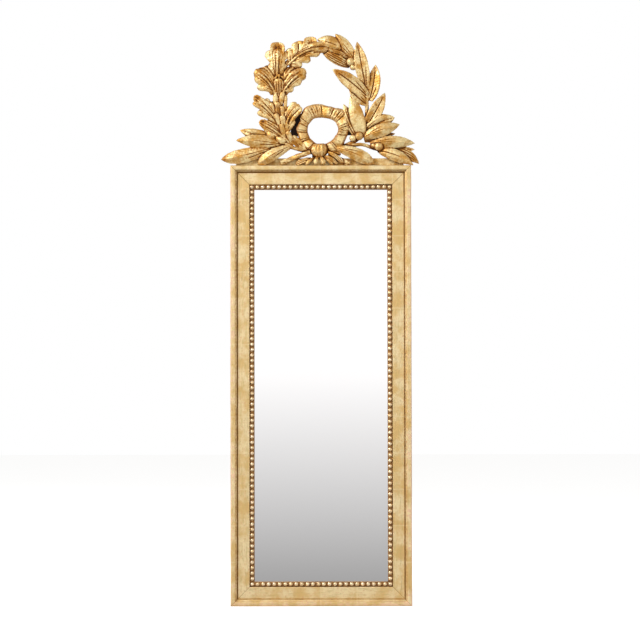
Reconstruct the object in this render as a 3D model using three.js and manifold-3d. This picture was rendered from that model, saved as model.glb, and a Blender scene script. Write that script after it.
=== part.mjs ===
// Giltwood pier mirror with a carved crest: an oak branch and a laurel branch tied by a ribbon.
// Millimetres, +Z up. The front faces -Y and the back of the frame lies in the plane Y = 0.
// "Depth" is the distance forward of that plane, and "inset" the distance inward from the
// outer edge of the frame. The origin is the middle of the bottom rail's back.
import * as THREE from 'three';
import { mergeVertices } from 'three/addons/utils/BufferGeometryUtils.js';
import Module from 'manifold-3d';

const wasm = await Module();
wasm.setup();

// ---- Driving dimensions ------------------------------------------------------------------

// Frame
const frameWidth = 380;
const frameHeight = 924;
const railWidth = 50;
const friezeDepth = 26;
const mouldingWidth = 13;
const mouldingDepth = 34;
const mouldingBand = 10;       // width of the raised band, before the small step
const mouldingStep = 5;        // how far the step lies below the band
const mouldingSeat = 23;       // depth of the ledge that the moulding is glued to
const grooveWidth = 2.5;       // dark quirk between moulding and frieze
const glueLine = 0.2;          // gap between glued pieces
const workGap = 0.3;           // gap between carved pieces that are fitted to each other

// Pearl strip
const pearlStripWidth = 10;
const pearlBase = 2.3;         // thickness of the strip under the pearls
const pearlSeat = 18;          // depth of the channel floor
const pearlRadius = 4.5;
const pearlPitch = { left: 11.4, right: 11.7, top: 11.4, bottom: 11.6 };
const pearlSides = 6;

// Rebate, glass, blocks and back boards
const lipThickness = 3;        // wood in front of the glass edge
const glassThickness = 3;
const glassRebate = 8;         // how far the glass runs under the lip
const boardRebate = 8;         // further step outward for the back boards
const boardThickness = 5.6;
const boardSeat = 6;           // depth of the ledge that the boards lie on
const boardCount = 3;
const boardLap = 8;
const blockLength = 46;
const blockWidth = 7;
const fitClearance = 0.6;      // play of the glass and boards in their rebates

// Dovetail keys across the mitres
const keyLength = 30;
const keyWaist = 9;
const keyEnd = 15;
const keyThickness = 5;

// Crest
const crestBoardHeight = 16;
const crestBoardLeft = -180;
const crestBoardRight = 176;
const crestBoardThickness = 10;
const spineWidth = 28;
const spineThickness = 8;
const spineLap = 28;           // how far the spine runs down behind the top rail
const spineRise = 44;          // how far it stands above the frame
const knotCentre = -4;         // X of the ribbon knot, which the spine stands behind
const stemRadius = 4.2;
const leafBody = 5;            // wood behind the edge of a leaf
const leafRelief = 4.5;        // swell of a leaf's two halves

// Hangers
const hangerHeight = 640;      // knuckle axis above the bottom of the frame
const hangerInset = 17;
const strapWidth = 14;
const strapThickness = 1.5;
const strapLength = 42;
const ringWire = 3;            // diameter of the D-ring's wire
const ringHalfWidth = 10;      // half the length of its straight bar, at the wire's centre
const ringDrop = 21;           // from the bar to the bend, at the wire's centre
const knuckleClearance = 0.35;
const screwHeadRadius = 3.5;
const screwHeadHeight = 1.8;
const screwShankRadius = 2;
const screwLength = 14;
const screwSpacing = 17;       // between the two screws of a strap
const screwDrop = 12;          // from the knuckle axis to the first screw
const spineScrewSpacing = 14;

// ---- Derived places ----------------------------------------------------------------------

const backWidth = railWidth - glassRebate - boardRebate;   // flat back of a rail
const frameBottom = -backWidth / 2;
const frameMiddle = frameBottom + frameHeight / 2;
const frameTop = frameBottom + frameHeight;
const pearlInset = railWidth - pearlStripWidth / 2;
const lipBack = pearlSeat - lipThickness;
const glassBack = lipBack - glassThickness;

const sides = {
  top: { length: frameWidth, turn: 0, at: [0, frameTop] },
  bottom: { length: frameWidth, turn: Math.PI, at: [0, frameBottom] },
  left: { length: frameHeight, turn: -Math.PI / 2, at: [-frameWidth / 2, frameMiddle] },
  right: { length: frameHeight, turn: Math.PI / 2, at: [frameWidth / 2, frameMiddle] },
};

// ---- Materials ---------------------------------------------------------------------------

const gilt = new THREE.MeshStandardMaterial({ color: 0xe3c48d, roughness: 0.45, metalness: 0.5 });
const carvedGilt = new THREE.MeshStandardMaterial({ color: 0xc99d4e, roughness: 0.4, metalness: 0.6 });
const pine = new THREE.MeshStandardMaterial({ color: 0xa07a4c, roughness: 0.8, metalness: 0 });
const darkWood = new THREE.MeshStandardMaterial({ color: 0x3f2a1a, roughness: 0.85, metalness: 0 });
const silveredGlass = new THREE.MeshStandardMaterial({ color: 0xe9ecec, roughness: 0.03, metalness: 1 });
const steel = new THREE.MeshStandardMaterial({ color: 0x6d6a66, roughness: 0.45, metalness: 1 });

// ---- Solids ------------------------------------------------------------------------------

function toSolid(geometry) {
  const bare = new THREE.BufferGeometry();
  bare.setAttribute('position', geometry.getAttribute('position'));
  bare.setIndex(geometry.getIndex());
  const merged = mergeVertices(bare, 1e-4);
  const index = merged.getIndex().array;
  const corners = [];
  for (let i = 0; i < index.length; i += 3) {
    const [a, b, c] = [index[i], index[i + 1], index[i + 2]];
    if (a !== b && b !== c && c !== a) corners.push(a, b, c);
  }
  const places = Float32Array.from(merged.getAttribute('position').array);
  const outward = signedVolume(places, corners) > 0;
  const faces = outward ? corners : corners.reverse();
  return new wasm.Manifold(new wasm.Mesh({
    numProp: 3,
    vertProperties: places,
    triVerts: Uint32Array.from(faces),
  }));
}

function signedVolume(places, corners) {
  const [a, b, c] = [new THREE.Vector3(), new THREE.Vector3(), new THREE.Vector3()];
  let six = 0;
  for (let i = 0; i < corners.length; i += 3) {
    a.fromArray(places, corners[i] * 3);
    b.fromArray(places, corners[i + 1] * 3);
    c.fromArray(places, corners[i + 2] * 3);
    six += a.dot(b.cross(c));
  }
  return six;
}

function toGeometry(solid) {
  const mesh = solid.getMesh();
  const geometry = new THREE.BufferGeometry();
  geometry.setAttribute('position', new THREE.BufferAttribute(Float32Array.from(mesh.vertProperties), 3));
  geometry.setIndex(new THREE.BufferAttribute(Uint32Array.from(mesh.triVerts), 1));
  geometry.computeVertexNormals();
  return geometry;
}

function join(solids) {
  return wasm.Manifold.union(solids);
}

// A cut can leave loose chips beside the piece; only the piece itself is kept.
function cut(solid, cutters) {
  let left = solid;
  for (const cutter of cutters) left = left.subtract(cutter);
  const bodies = left.decompose();
  return bodies.reduce((best, body) => (body.volume() > best.volume() ? body : best));
}

// Rings of points joined in order; open lofts are closed by a fan at each end.
function loft(rings, closed = false) {
  const count = rings[0].length;
  const points = rings.flat();
  const faces = [];
  const spans = closed ? rings.length : rings.length - 1;
  for (let r = 0; r < spans; r += 1) {
    const next = (r + 1) % rings.length;
    for (let k = 0; k < count; k += 1) {
      const along = (k + 1) % count;
      const [a, b] = [r * count + k, r * count + along];
      const [c, d] = [next * count + along, next * count + k];
      faces.push(a, b, c, a, c, d);
    }
  }
  if (!closed) {
    for (const [ring, first] of [[0, true], [rings.length - 1, false]]) {
      const centre = new THREE.Vector3();
      for (const point of rings[ring]) centre.addScaledVector(point, 1 / count);
      const hub = points.push(centre) - 1;
      for (let k = 0; k < count; k += 1) {
        const [a, b] = [ring * count + k, ring * count + ((k + 1) % count)];
        faces.push(...(first ? [hub, b, a] : [hub, a, b]));
      }
    }
  }
  const geometry = new THREE.BufferGeometry().setFromPoints(points);
  geometry.setIndex(faces);
  return toSolid(geometry);
}

// A section [inset, depth] run along X. The half length may depend on the inset, as on a mitre.
function run(section, halfLengthAt) {
  const contour = section.map(([inset, depth]) => new THREE.Vector2(inset, depth));
  if (THREE.ShapeUtils.isClockWise(contour)) contour.reverse();
  const ends = [-1, 1].map((end) => contour.map(
    (corner) => new THREE.Vector3(end * halfLengthAt(corner.x), -corner.y, -corner.x),
  ));
  const count = contour.length;
  const faces = [];
  for (let k = 0; k < count; k += 1) {
    const along = (k + 1) % count;
    faces.push(k, count + along, along, k, count + k, count + along);
  }
  for (const [a, b, c] of THREE.ShapeUtils.triangulateShape(contour, [])) {
    faces.push(a, b, c, count + c, count + b, count + a);
  }
  const geometry = new THREE.BufferGeometry().setFromPoints(ends.flat());
  geometry.setIndex(faces);
  return toSolid(geometry);
}

// A flat outline in X and Z, from one depth to another.
function plate(outline, fromDepth, toDepth) {
  const shape = new THREE.Shape(outline.map(([x, z]) => new THREE.Vector2(x, z)));
  const geometry = new THREE.ExtrudeGeometry(shape, { depth: toDepth - fromDepth, bevelEnabled: false });
  geometry.rotateX(Math.PI / 2);
  geometry.translate(0, -fromDepth, 0);
  return toSolid(geometry);
}

function rectangle(x0, x1, z0, z1) {
  return [[x0, z0], [x1, z0], [x1, z1], [x0, z1]];
}

// A profile [radius, height] turned round the Y axis, its height pointing back (+Y) or forward.
function turned(profile, segments, forward = true) {
  const points = profile.map(([radius, height]) => new THREE.Vector2(radius, height));
  const geometry = new THREE.LatheGeometry(points, segments);
  if (forward) geometry.rotateX(Math.PI);
  return toSolid(geometry);
}

const model = new THREE.Group();

function addPart(name, solid, material, parent = model) {
  const mesh = new THREE.Mesh(toGeometry(solid), material);
  mesh.name = name;
  parent.add(mesh);
  return mesh;
}

// ---- Screws ------------------------------------------------------------------------------

// Driven forward from the back: the head's underside lies at height 0 and the shank runs to +height.
function roundHeadScrew(grow = 0) {
  const shank = screwShankRadius + grow;
  const head = screwHeadRadius + grow;
  return turned([
    [0, -screwHeadHeight - grow],
    [head * 0.6, -screwHeadHeight * 0.85 - grow],
    [head, -grow],
    [head, grow],
    [shank, grow],
    [shank, screwLength * 0.8],
    [0, screwLength + grow],
  ].filter(([radius], k) => grow === 0 ? k !== 3 : radius >= 0), 10);
}

function sunkHeadScrew(grow = 0) {
  const shank = screwShankRadius + grow;
  const head = screwHeadRadius + grow;
  const back = grow > 0 ? 1 : 0;
  return turned([
    [0, -back],
    [head, -back],
    [head, grow],
    [shank, head - shank + grow],
    [shank, spineThickness + screwLength * 0.6],
    [0, spineThickness + screwLength * 0.9 + grow],
  ], 10);
}

// ---- Frame -------------------------------------------------------------------------------

const railSection = [
  [0, 0],
  [backWidth, 0],
  [backWidth, boardSeat],
  [backWidth + boardRebate, boardSeat],
  [backWidth + boardRebate, lipBack],
  [railWidth, lipBack],
  [railWidth, pearlSeat],
  [railWidth - pearlStripWidth - glueLine, pearlSeat],
  [railWidth - pearlStripWidth - glueLine, friezeDepth],
  [mouldingWidth + grooveWidth, friezeDepth],
  [mouldingWidth + grooveWidth, mouldingSeat],
  [0, mouldingSeat],
];

const bandEdge = 1.6;          // rounding of the moulding's raised band
const mouldingSection = [
  [0, mouldingSeat + glueLine],
  [0, mouldingDepth - 2 * bandEdge],
  [bandEdge / 2, mouldingDepth - bandEdge / 2],
  [2 * bandEdge, mouldingDepth],
  [mouldingBand - 2 * bandEdge, mouldingDepth],
  [mouldingBand - bandEdge / 2, mouldingDepth - bandEdge / 2],
  [mouldingBand, mouldingDepth - 2 * bandEdge],
  [mouldingBand, mouldingDepth - mouldingStep],
  [mouldingWidth, mouldingDepth - mouldingStep - 1],
  [mouldingWidth, mouldingSeat + glueLine],
];

const pearlSection = [
  [railWidth - pearlStripWidth, pearlSeat + glueLine],
  [railWidth - pearlStripWidth, pearlSeat + glueLine + pearlBase],
  [railWidth, pearlSeat + glueLine + pearlBase],
  [railWidth, pearlSeat + glueLine],
];

function dovetailKey(grow = 0) {
  const half = keyLength / 2 + grow;
  const waist = keyWaist / 2 + grow;
  const end = keyEnd / 2 + grow;
  const outline = [[-half, -end], [0, -waist], [half, -end], [half, end], [0, waist], [-half, end]];
  return plate(outline, grow > 0 ? -1 : 0, keyThickness + grow);
}

function keyPlace(halfLength, end) {
  const middle = backWidth / 2;
  return { x: end * (halfLength - middle), z: -middle, turn: end * Math.PI / 4 };
}

function placed(solid, x, z, turn = 0) {
  const degrees = THREE.MathUtils.radToDeg(turn);
  return solid.rotate([0, degrees, 0]).translate([x, 0, z]);
}

const spineCutter = plate(
  rectangle(knotCentre - spineWidth / 2 - glueLine, knotCentre + spineWidth / 2 + glueLine, -spineLap - glueLine, 1),
  -1,
  spineThickness + glueLine,
);

function spineScrewPlaces() {
  return [-1, 1].map((way) => [knotCentre, -spineLap / 2 + way * spineScrewSpacing / 2]);
}

function strapScrewPlaces() {
  return [screwDrop, screwDrop + screwSpacing].map((drop) => hangerHeight - drop);
}

function railCutters(name, side) {
  const cutters = [-1, 1].map((end) => {
    const place = keyPlace(side.length / 2, end);
    return placed(dovetailKey(glueLine), place.x, place.z, place.turn);
  });
  if (name === 'top') {
    cutters.push(spineCutter);
    for (const [x, z] of spineScrewPlaces()) cutters.push(placed(sunkHeadScrew(glueLine), x, z));
  }
  if (name === 'left' || name === 'right') {
    const along = name === 'left' ? 1 : -1;
    for (const height of strapScrewPlaces()) {
      cutters.push(placed(roundHeadScrew(glueLine), along * (height - frameHeight / 2), -hangerInset));
    }
  }
  return cutters;
}

function pearlRow(name, side) {
  const corners = name === 'top' || name === 'bottom';
  const span = side.length - 2 * pearlInset;
  const steps = Math.round(span / pearlPitch[name]);
  const pearl = turned([
    [0, -pearlBase / 2],
    [pearlRadius, -pearlBase / 2],
    [pearlRadius * Math.cos(0.8), pearlRadius * Math.sin(0.8)],
    [0, pearlRadius],
  ], pearlSides);
  const depth = pearlSeat + glueLine + pearlBase;
  const pearls = [];
  for (let k = corners ? 0 : 1; k <= (corners ? steps : steps - 1); k += 1) {
    pearls.push(pearl.translate([-span / 2 + k * span / steps, -depth, -pearlInset]));
  }
  const inset = corners ? railWidth - pearlStripWidth : railWidth;
  const strip = run(pearlSection, () => side.length / 2 - inset - glueLine);
  return join([strip, ...pearls]);
}

for (const [name, side] of Object.entries(sides)) {
  const group = new THREE.Group();
  group.position.set(side.at[0], 0, side.at[1]);
  group.rotation.y = side.turn;
  model.add(group);
  const mitre = (inset) => side.length / 2 - inset - glueLine;
  addPart(`rail_${name}`, cut(run(railSection, mitre), railCutters(name, side)), gilt, group);
  addPart(`edge_moulding_${name}`, run(mouldingSection, mitre), gilt, group);
  addPart(`pearl_strip_${name}`, pearlRow(name, side), gilt, group);
}

for (const [x, vertical] of [[-1, 'top'], [1, 'top'], [1, 'bottom'], [-1, 'bottom']]) {
  const side = sides[vertical];
  const place = keyPlace(side.length / 2, vertical === 'top' ? x : -x);
  const group = new THREE.Group();
  group.position.set(side.at[0], 0, side.at[1]);
  group.rotation.y = side.turn;
  model.add(group);
  const key = addPart(`corner_key_${vertical}_${x < 0 ? 'left' : 'right'}`, dovetailKey(), pine, group);
  key.position.set(place.x, 0, place.z);
  key.rotation.y = place.turn;
}

// ---- Mirror ------------------------------------------------------------------------------

const glassHalfWidth = frameWidth / 2 - railWidth + glassRebate - fitClearance;
const glassHalfHeight = frameHeight / 2 - railWidth + glassRebate - fitClearance;
const glass = addPart(
  'mirror_glass',
  plate(
    rectangle(-glassHalfWidth, glassHalfWidth, -glassHalfHeight, glassHalfHeight),
    glassBack,
    lipBack - glueLine,
  ),
  silveredGlass,
);
glass.position.z = frameMiddle;

// Wedges glued to the rebate wall, on the glass: [side, place along it].
const blockPlaces = [
  ['left', -0.3], ['left', 0.3], ['right', -0.3], ['right', 0.3], ['top', 0], ['bottom', 0],
];
const blockInset = backWidth + boardRebate + glueLine;
const blockSection = [
  [blockInset, boardSeat + glueLine],
  [blockInset, glassBack - glueLine],
  [blockInset + blockWidth, glassBack - glueLine],
  [blockInset + blockWidth * 0.55, boardSeat + glueLine],
];
blockPlaces.forEach(([name, share], k) => {
  const side = sides[name];
  const group = new THREE.Group();
  group.position.set(side.at[0], 0, side.at[1]);
  group.rotation.y = side.turn;
  model.add(group);
  const block = addPart(`glass_block_${k + 1}`, run(blockSection, () => blockLength / 2), pine, group);
  block.position.x = share * side.length;
});

const boardHalfWidth = frameWidth / 2 - backWidth - fitClearance;
const boardsHeight = frameHeight - 2 * backWidth - 2 * fitClearance;

// Lapped boards: the front half of each edge reaches up behind the back half of the next board.
function boardSection(k) {
  const first = k === 0;
  const last = k === boardCount - 1;
  const pitch = boardsHeight / boardCount;
  const front = boardSeat - glueLine;
  const back = front - boardThickness;
  const middle = (front + back) / 2;
  const bottomBack = first ? 0 : k * pitch - boardLap / 2;
  const bottomFront = first ? 0 : k * pitch + boardLap / 2;
  const topBack = last ? boardsHeight : (k + 1) * pitch - boardLap / 2 - glueLine;
  const topFront = last ? boardsHeight : (k + 1) * pitch + boardLap / 2 - glueLine;
  const corners = [[bottomBack, back], [topBack, back]];
  if (!last) corners.push([topBack, middle + glueLine / 2], [topFront, middle + glueLine / 2]);
  corners.push([topFront, front], [bottomFront, front]);
  if (!first) corners.push([bottomFront, middle - glueLine / 2], [bottomBack, middle - glueLine / 2]);
  return corners.map(([height, depth]) => [-height, depth]);
}

for (let k = 0; k < boardCount; k += 1) {
  const board = addPart(`back_board_${k + 1}`, run(boardSection(k), () => boardHalfWidth), pine);
  board.position.z = frameBottom + backWidth + fitClearance;
}

// ---- Crest -------------------------------------------------------------------------------

// Places on the crest are [X, height above the frame]; the carving faces forward.
const crest = new THREE.Group();
crest.position.z = frameTop;
model.add(crest);

const oakStem = {
  points: [[-14, 36], [-52, 49], [-78, 78], [-90, 129], [-92, 165], [-86, 205], [-62, 228], [-30, 243]],
  depth: 18,
};
const laurelStem = {
  points: [[26, 36], [60, 46], [84, 64], [96, 100], [97, 150], [90, 186], [66, 219], [26, 242], [8, 248]],
  depth: 17,
};
const leftSprayStem = { points: [[-18, 28], [-44, 34], [-71, 41], [-96, 44]], depth: 20 };
const rightSprayStem = { points: [[20, 28], [48, 38], [84, 45], [113, 36], [138, 27]], depth: 20 };

// from: where the leaf leaves its stem. bow: how far the midrib bends to the left of its way.
// lift: how much further forward than the stem the base, the middle and the tip lie.
const oakLeaves = [
  { from: [-66, 222], to: [13, 245], width: 48, bow: 3, lift: [0, 6, 3] },
  { from: [-92, 190], to: [-90, 261], width: 46, bow: 0, lift: [0, 4, 0] },
  { from: [-94, 152], to: [-139, 203], width: 36, bow: 3, lift: [0, 4, -1] },
  { from: [-88, 158], to: [-31, 200], width: 42, bow: 8, lift: [0, 7, 4] },
  { from: [-92, 106], to: [-141, 146], width: 40, bow: 4, lift: [0, 6, 0] },
  { from: [-66, 62], to: [-132, 96], width: 32, bow: 4, lift: [0, 5, 0] },
  { from: [-72, 66], to: [-36, 123], width: 30, bow: 14, lift: [0, 8, 7] },
];
const laurelLeaves = [
  { from: [50, 228], to: [-6, 268], width: 20, bow: -3, lift: [0, 5, 2] },
  { from: [66, 219], to: [31, 279], width: 23, bow: 2, lift: [0, 5, 0] },
  { from: [56, 222], to: [3, 239], width: 18, bow: 5, lift: [-1, 2, -1] },
  { from: [90, 182], to: [78, 261], width: 23, bow: 2, lift: [0, 5, 1] },
  { from: [97, 152], to: [115, 214], width: 23, bow: -2, lift: [0, 4, 0] },
  { from: [97, 146], to: [24, 203], width: 24, bow: 4, lift: [0, 8, 6] },
  { from: [97, 128], to: [59, 165], width: 15, bow: 2, lift: [-2, 2, 0] },
  { from: [84, 68], to: [65, 146], width: 30, bow: 4, lift: [2, 9, 6] },
  { from: [80, 62], to: [52, 131], width: 14, bow: 3, lift: [-1, 3, 1] },
  { from: [98, 98], to: [135, 154], width: 23, bow: -3, lift: [0, 5, 1] },
  { from: [94, 84], to: [155, 98], width: 19, bow: 3, lift: [-1, 3, 0] },
  { from: [86, 66], to: [166, 85], width: 27, bow: 3, lift: [1, 7, 3] },
];
const leftSprayLeaves = [
  { from: [-90, 45], to: [-170, 74], width: 20, bow: 4, lift: [-2, 2, 0] },
  { from: [-92, 44], to: [-178, 54], width: 26, bow: -3, lift: [2, 8, 4] },
  { from: [-96, 44], to: [-210, 14], width: 24, bow: -6, lift: [3, 5, 2] },
  { from: [-70, 41], to: [-132, 5], width: 23, bow: -3, lift: [4, 9, 7] },
];
const rightSprayLeaves = [
  { from: [100, 42], to: [158, 64], width: 12, bow: 2, lift: [-2, 1, 0] },
  { from: [104, 41], to: [197, 48], width: 25, bow: 4, lift: [2, 8, 4] },
  { from: [124, 32], to: [197, 33], width: 14, bow: 0, lift: [0, 3, 1] },
  { from: [132, 28], to: [200, 1], width: 25, bow: 6, lift: [3, 7, 3] },
  { from: [138, 27], to: [207, 4], width: 13, bow: 5, lift: [1, 3, 1] },
  { from: [34, 34], to: [116, 6], width: 26, bow: 4, lift: [4, 10, 7] },
];
const oakAcorns = [{ at: [-105, 66], radius: 8 }, { at: [-86, 54], radius: 9 }];
const laurelBerries = [
  { at: [65, 219], radius: 9, lift: 5 },
  { at: [79, 60], radius: 9, lift: 6 },
  { at: [67, 56], radius: 7, lift: 5 },
];
const sprayBerries = [{ at: [122, 40], radius: 9.5, lift: 7 }];

function stemCurve(stem) {
  return new THREE.CatmullRomCurve3(stem.points.map(([x, z]) => new THREE.Vector3(x, -stem.depth, z)));
}

function stemSolid(stem, grow) {
  const curve = stemCurve(stem);
  const steps = stem.points.length * 2;
  const rings = Array.from({ length: steps + 1 }, (_, k) => {
    const share = k / steps;
    const ahead = curve.getTangent(share);
    const aside = new THREE.Vector3(-ahead.z, 0, ahead.x).normalize();
    const radius = stemRadius * (1 - 0.45 * share) + grow;
    return circle(curve.getPoint(share), aside, new THREE.Vector3(0, 1, 0), radius, 7);
  });
  return loft(rings);
}

function nearestOn(curve, x, z) {
  const places = curve.getPoints(60);
  const gap = (point) => Math.hypot(point.x - x, point.z - z);
  return places.reduce((best, point) => (gap(point) < gap(best) ? point : best));
}

// Sections along a leaf: [share of its length, half width as a share of the greatest].
// An oak leaf's lobes lean toward its tip by the slant, a share of the half width.
const laurelForm = {
  slant: 0,
  sections: [[0, 0.16], [0.16, 0.58], [0.4, 1], [0.66, 0.88], [0.87, 0.45], [1, 0.06]],
};
const oakForm = {
  slant: 0.4,
  sections: [
    [0, 0.14], [0.13, 0.2], [0.2, 0.58], [0.3, 0.62], [0.37, 0.32], [0.46, 0.92],
    [0.59, 1], [0.66, 0.45], [0.75, 0.86], [0.9, 0.66], [1, 0.2],
  ],
};
const ribbonForm = {
  slant: 0,
  sections: [[0, 0.55], [0.25, 0.85], [0.55, 1], [0.8, 0.9], [1, 0.5]],
};

// A leaf: sections square to a bowed midrib, each with a sunk rib between two swelling halves.
function leafSolid(leaf, curve, form, grow) {
  const base = nearestOn(curve, ...leaf.from);
  const tip = new THREE.Vector3(leaf.to[0], base.y - leaf.lift[2] + leaf.lift[0], leaf.to[1]);
  const way = new THREE.Vector3(tip.x - base.x, 0, tip.z - base.z).normalize();
  const left = new THREE.Vector3(-way.z, 0, way.x);
  const middle = base.clone().lerp(tip, 0.5).addScaledVector(left, 2 * leaf.bow);
  middle.y = base.y - (2 * leaf.lift[1] - (leaf.lift[0] + leaf.lift[2]) / 2);
  base.y -= leaf.lift[0];
  tip.y = base.y - leaf.lift[2] + leaf.lift[0];
  const rib = new THREE.QuadraticBezierCurve3(base, middle, tip);
  const rings = form.sections.map(([share, breadth], k) => {
    const point = rib.getPoint(share);
    const ahead = rib.getTangent(share);
    const aside = new THREE.Vector3(-ahead.z, 0, ahead.x).normalize();
    if (k === 0) point.addScaledVector(way, -grow);
    if (k === form.sections.length - 1) point.addScaledVector(way, grow);
    const half = (leaf.width / 2) * breadth + grow;
    const swell = leafRelief * Math.min(1, breadth * 1.3);
    const body = leafBody * (0.5 + 0.5 * breadth) + grow;
    const lean = share < 1 ? form.slant : 0;
    const front = (across, forward) => point.clone()
      .addScaledVector(aside, across)
      .addScaledVector(way, lean * Math.abs(across))
      .add(new THREE.Vector3(0, -forward, 0));
    return [
      front(-half, 0),
      front(-half * 0.5, swell + grow),
      front(0, swell * 0.35 + grow),
      front(half * 0.5, swell + grow),
      front(half, 0),
      front(0, -body),
    ];
  });
  return loft(rings);
}

function fruitSolid(fruit, stem, grow) {
  const radius = fruit.radius + grow;
  const ball = new THREE.SphereGeometry(radius, 8, 6);
  ball.translate(fruit.at[0], -stem.depth - (fruit.lift ?? 3), fruit.at[1]);
  return toSolid(ball);
}

function branch(stem, leaves, form, fruits, grow = 0) {
  const curve = stemCurve(stem);
  return join([
    stemSolid(stem, grow),
    ...leaves.map((leaf) => leafSolid(leaf, curve, form, grow)),
    ...fruits.map((fruit) => fruitSolid(fruit, stem, grow)),
  ]);
}

// Ribbon ring: a pleated band whose front bulges between its inner and outer edge.
const ringOuter = { x: 5, z: 81, halfWidth: 55, halfHeight: 50 };
const ringInner = { x: 5, z: 75, halfWidth: 32.5, halfHeight: 28 };
const ringBack = 12;
const ringEdge = 19;
const ringFront = 29;
const ringSteps = 40;

function ribbonRing(grow = 0) {
  const rings = [];
  for (let k = 0; k < ringSteps; k += 1) {
    const angle = (2 * Math.PI * k) / ringSteps;
    const wave = 1 + 0.035 * Math.sin(angle * 5 + 0.6) + 0.02 * Math.sin(angle * 9);
    const pleat = k % 2 === 0 ? 1 : -0.6;
    const at = (share, depth) => {
      const x = ringInner.x + ringInner.halfWidth * Math.cos(angle);
      const z = ringInner.z + ringInner.halfHeight * Math.sin(angle);
      const outX = ringOuter.x + ringOuter.halfWidth * wave * Math.cos(angle);
      const outZ = ringOuter.z + ringOuter.halfHeight * wave * Math.sin(angle);
      const length = Math.hypot(outX - x, outZ - z);
      const reach = share + (grow / length) * Math.sign(share - 0.5);
      return new THREE.Vector3(x + (outX - x) * reach, -depth, z + (outZ - z) * reach);
    };
    rings.push([
      at(0, ringBack - grow),
      at(1, ringBack - grow),
      at(1, ringEdge),
      at(0.72, ringFront - 2 + pleat + grow),
      at(0.3, ringFront + pleat + grow),
      at(0, ringEdge + 1),
    ]);
  }
  return loft(rings, true);
}

// Knot: gathered folds, [height, half width, front depth], drawn in at the foot.
const knotSections = [[49, 13, 24], [44, 16.5, 31], [36, 17, 34], [28, 16, 33], [22, 13.5, 30], [18, 12, 26]];
const knotFolds = 5;

function ribbonKnot(grow = 0) {
  const back = spineThickness + glueLine - grow;
  const rings = knotSections.map(([height, half, front], k) => {
    const end = k === 0 ? grow : k === knotSections.length - 1 ? -grow : 0;
    const points = [];
    const count = knotFolds * 2;
    for (let i = 0; i <= count; i += 1) {
      const share = (i / count) * 2 - 1;
      const fold = i % 2 === 0 ? 0 : 1.6;
      const crown = Math.sqrt(1 - (0.86 * share) ** 2);
      const depth = back + (front - back) * crown - fold + grow;
      points.push(new THREE.Vector3(knotCentre + share * (half + grow), -depth, height + end));
    }
    points.push(new THREE.Vector3(knotCentre + half * 0.8 + grow, -back, height + end));
    points.push(new THREE.Vector3(knotCentre - half * 0.8 - grow, -back, height + end));
    return points;
  });
  return loft(rings);
}

// Short ribbon ends and long tails: the same leaf form on a short root under the knot.
const knotRoot = { points: [[-10, 19], [-4, 18], [4, 19]], depth: 23 };
const fanEnds = [
  { from: [-10, 19], to: [-36, 3], width: 12, bow: -2, lift: [1, 3, 1] },
  { from: [-7, 18], to: [-13, 1], width: 11, bow: 0, lift: [1, 4, 2] },
  { from: [-2, 18], to: [3, 1], width: 11, bow: 0, lift: [1, 4, 2] },
  { from: [3, 19], to: [22, 1], width: 10, bow: 1, lift: [1, 3, 1] },
];
const tailRoot = { points: [[14, 27], [18, 25], [22, 22]], depth: 24 };
const tailEnds = [
  { from: [14, 27], to: [56, 3], width: 13, bow: 3, lift: [2, 3, 0] },
  { from: [18, 25], to: [40, 2], width: 10, bow: 2, lift: [1, 2, 0] },
];

function ribbonEnds(root, ends, grow = 0) {
  const curve = stemCurve(root);
  return join([stemSolid(root, grow), ...ends.map((end) => leafSolid(end, curve, ribbonForm, grow))]);
}

// Cut ends of the two branches, crossing under the knot.
const cutStemRadius = 5.5;
const cutStems = {
  left: { from: [-22, 28], to: [-84, 6], depth: [27, 25] },
  right: { from: [15, 22], to: [62, 6], depth: [22, 20.5] },
};

function cutStem(stem, grow = 0) {
  const start = new THREE.Vector3(stem.from[0], -stem.depth[0], stem.from[1]);
  const end = new THREE.Vector3(stem.to[0], -stem.depth[1], stem.to[1]);
  const ahead = end.clone().sub(start).normalize();
  const aside = new THREE.Vector3(-ahead.z, 0, ahead.x).normalize();
  const up = ahead.clone().cross(aside);
  const swells = [0.8, 0.95, 0.9, 1, 1.05];
  const rings = swells.map((swell, k) => {
    const share = k / (swells.length - 1);
    const reach = k === 0 ? -grow : k === swells.length - 1 ? grow : 0;
    const middle = start.clone().lerp(end, share).addScaledVector(ahead, reach);
    return circle(middle, aside, up, cutStemRadius * swell + grow, 8);
  });
  return loft(rings);
}

const crestBoardOutline = [
  [crestBoardLeft, glueLine],
  [crestBoardRight, glueLine],
  [crestBoardRight - crestBoardHeight / 2, crestBoardHeight],
  [crestBoardLeft + crestBoardHeight / 2, crestBoardHeight],
];
const crestBoardBack = spineThickness + glueLine;

function crestBoard(grow = 0) {
  const outline = crestBoardOutline.map(([x, z], k) => [x, z + (k > 1 ? grow : -grow)]);
  return plate(outline, crestBoardBack, crestBoardBack + crestBoardThickness + grow);
}

// The top rail and its moulding, as a carving must clear them.
const frameClearance = plate(
  rectangle(-frameWidth / 2 - workGap, frameWidth / 2 + workGap, -frameHeight, workGap),
  -10,
  2 * mouldingDepth,
);

// Dark bridges that carry the ring on the branches, behind both.
const bridgeBack = 4;
const bridges = {
  left: [[-64, 66], [-40, 62], [-38, 96], [-42, 112], [-60, 112]],
  right: [[46, 66], [74, 66], [76, 90], [50, 96]],
};

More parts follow.
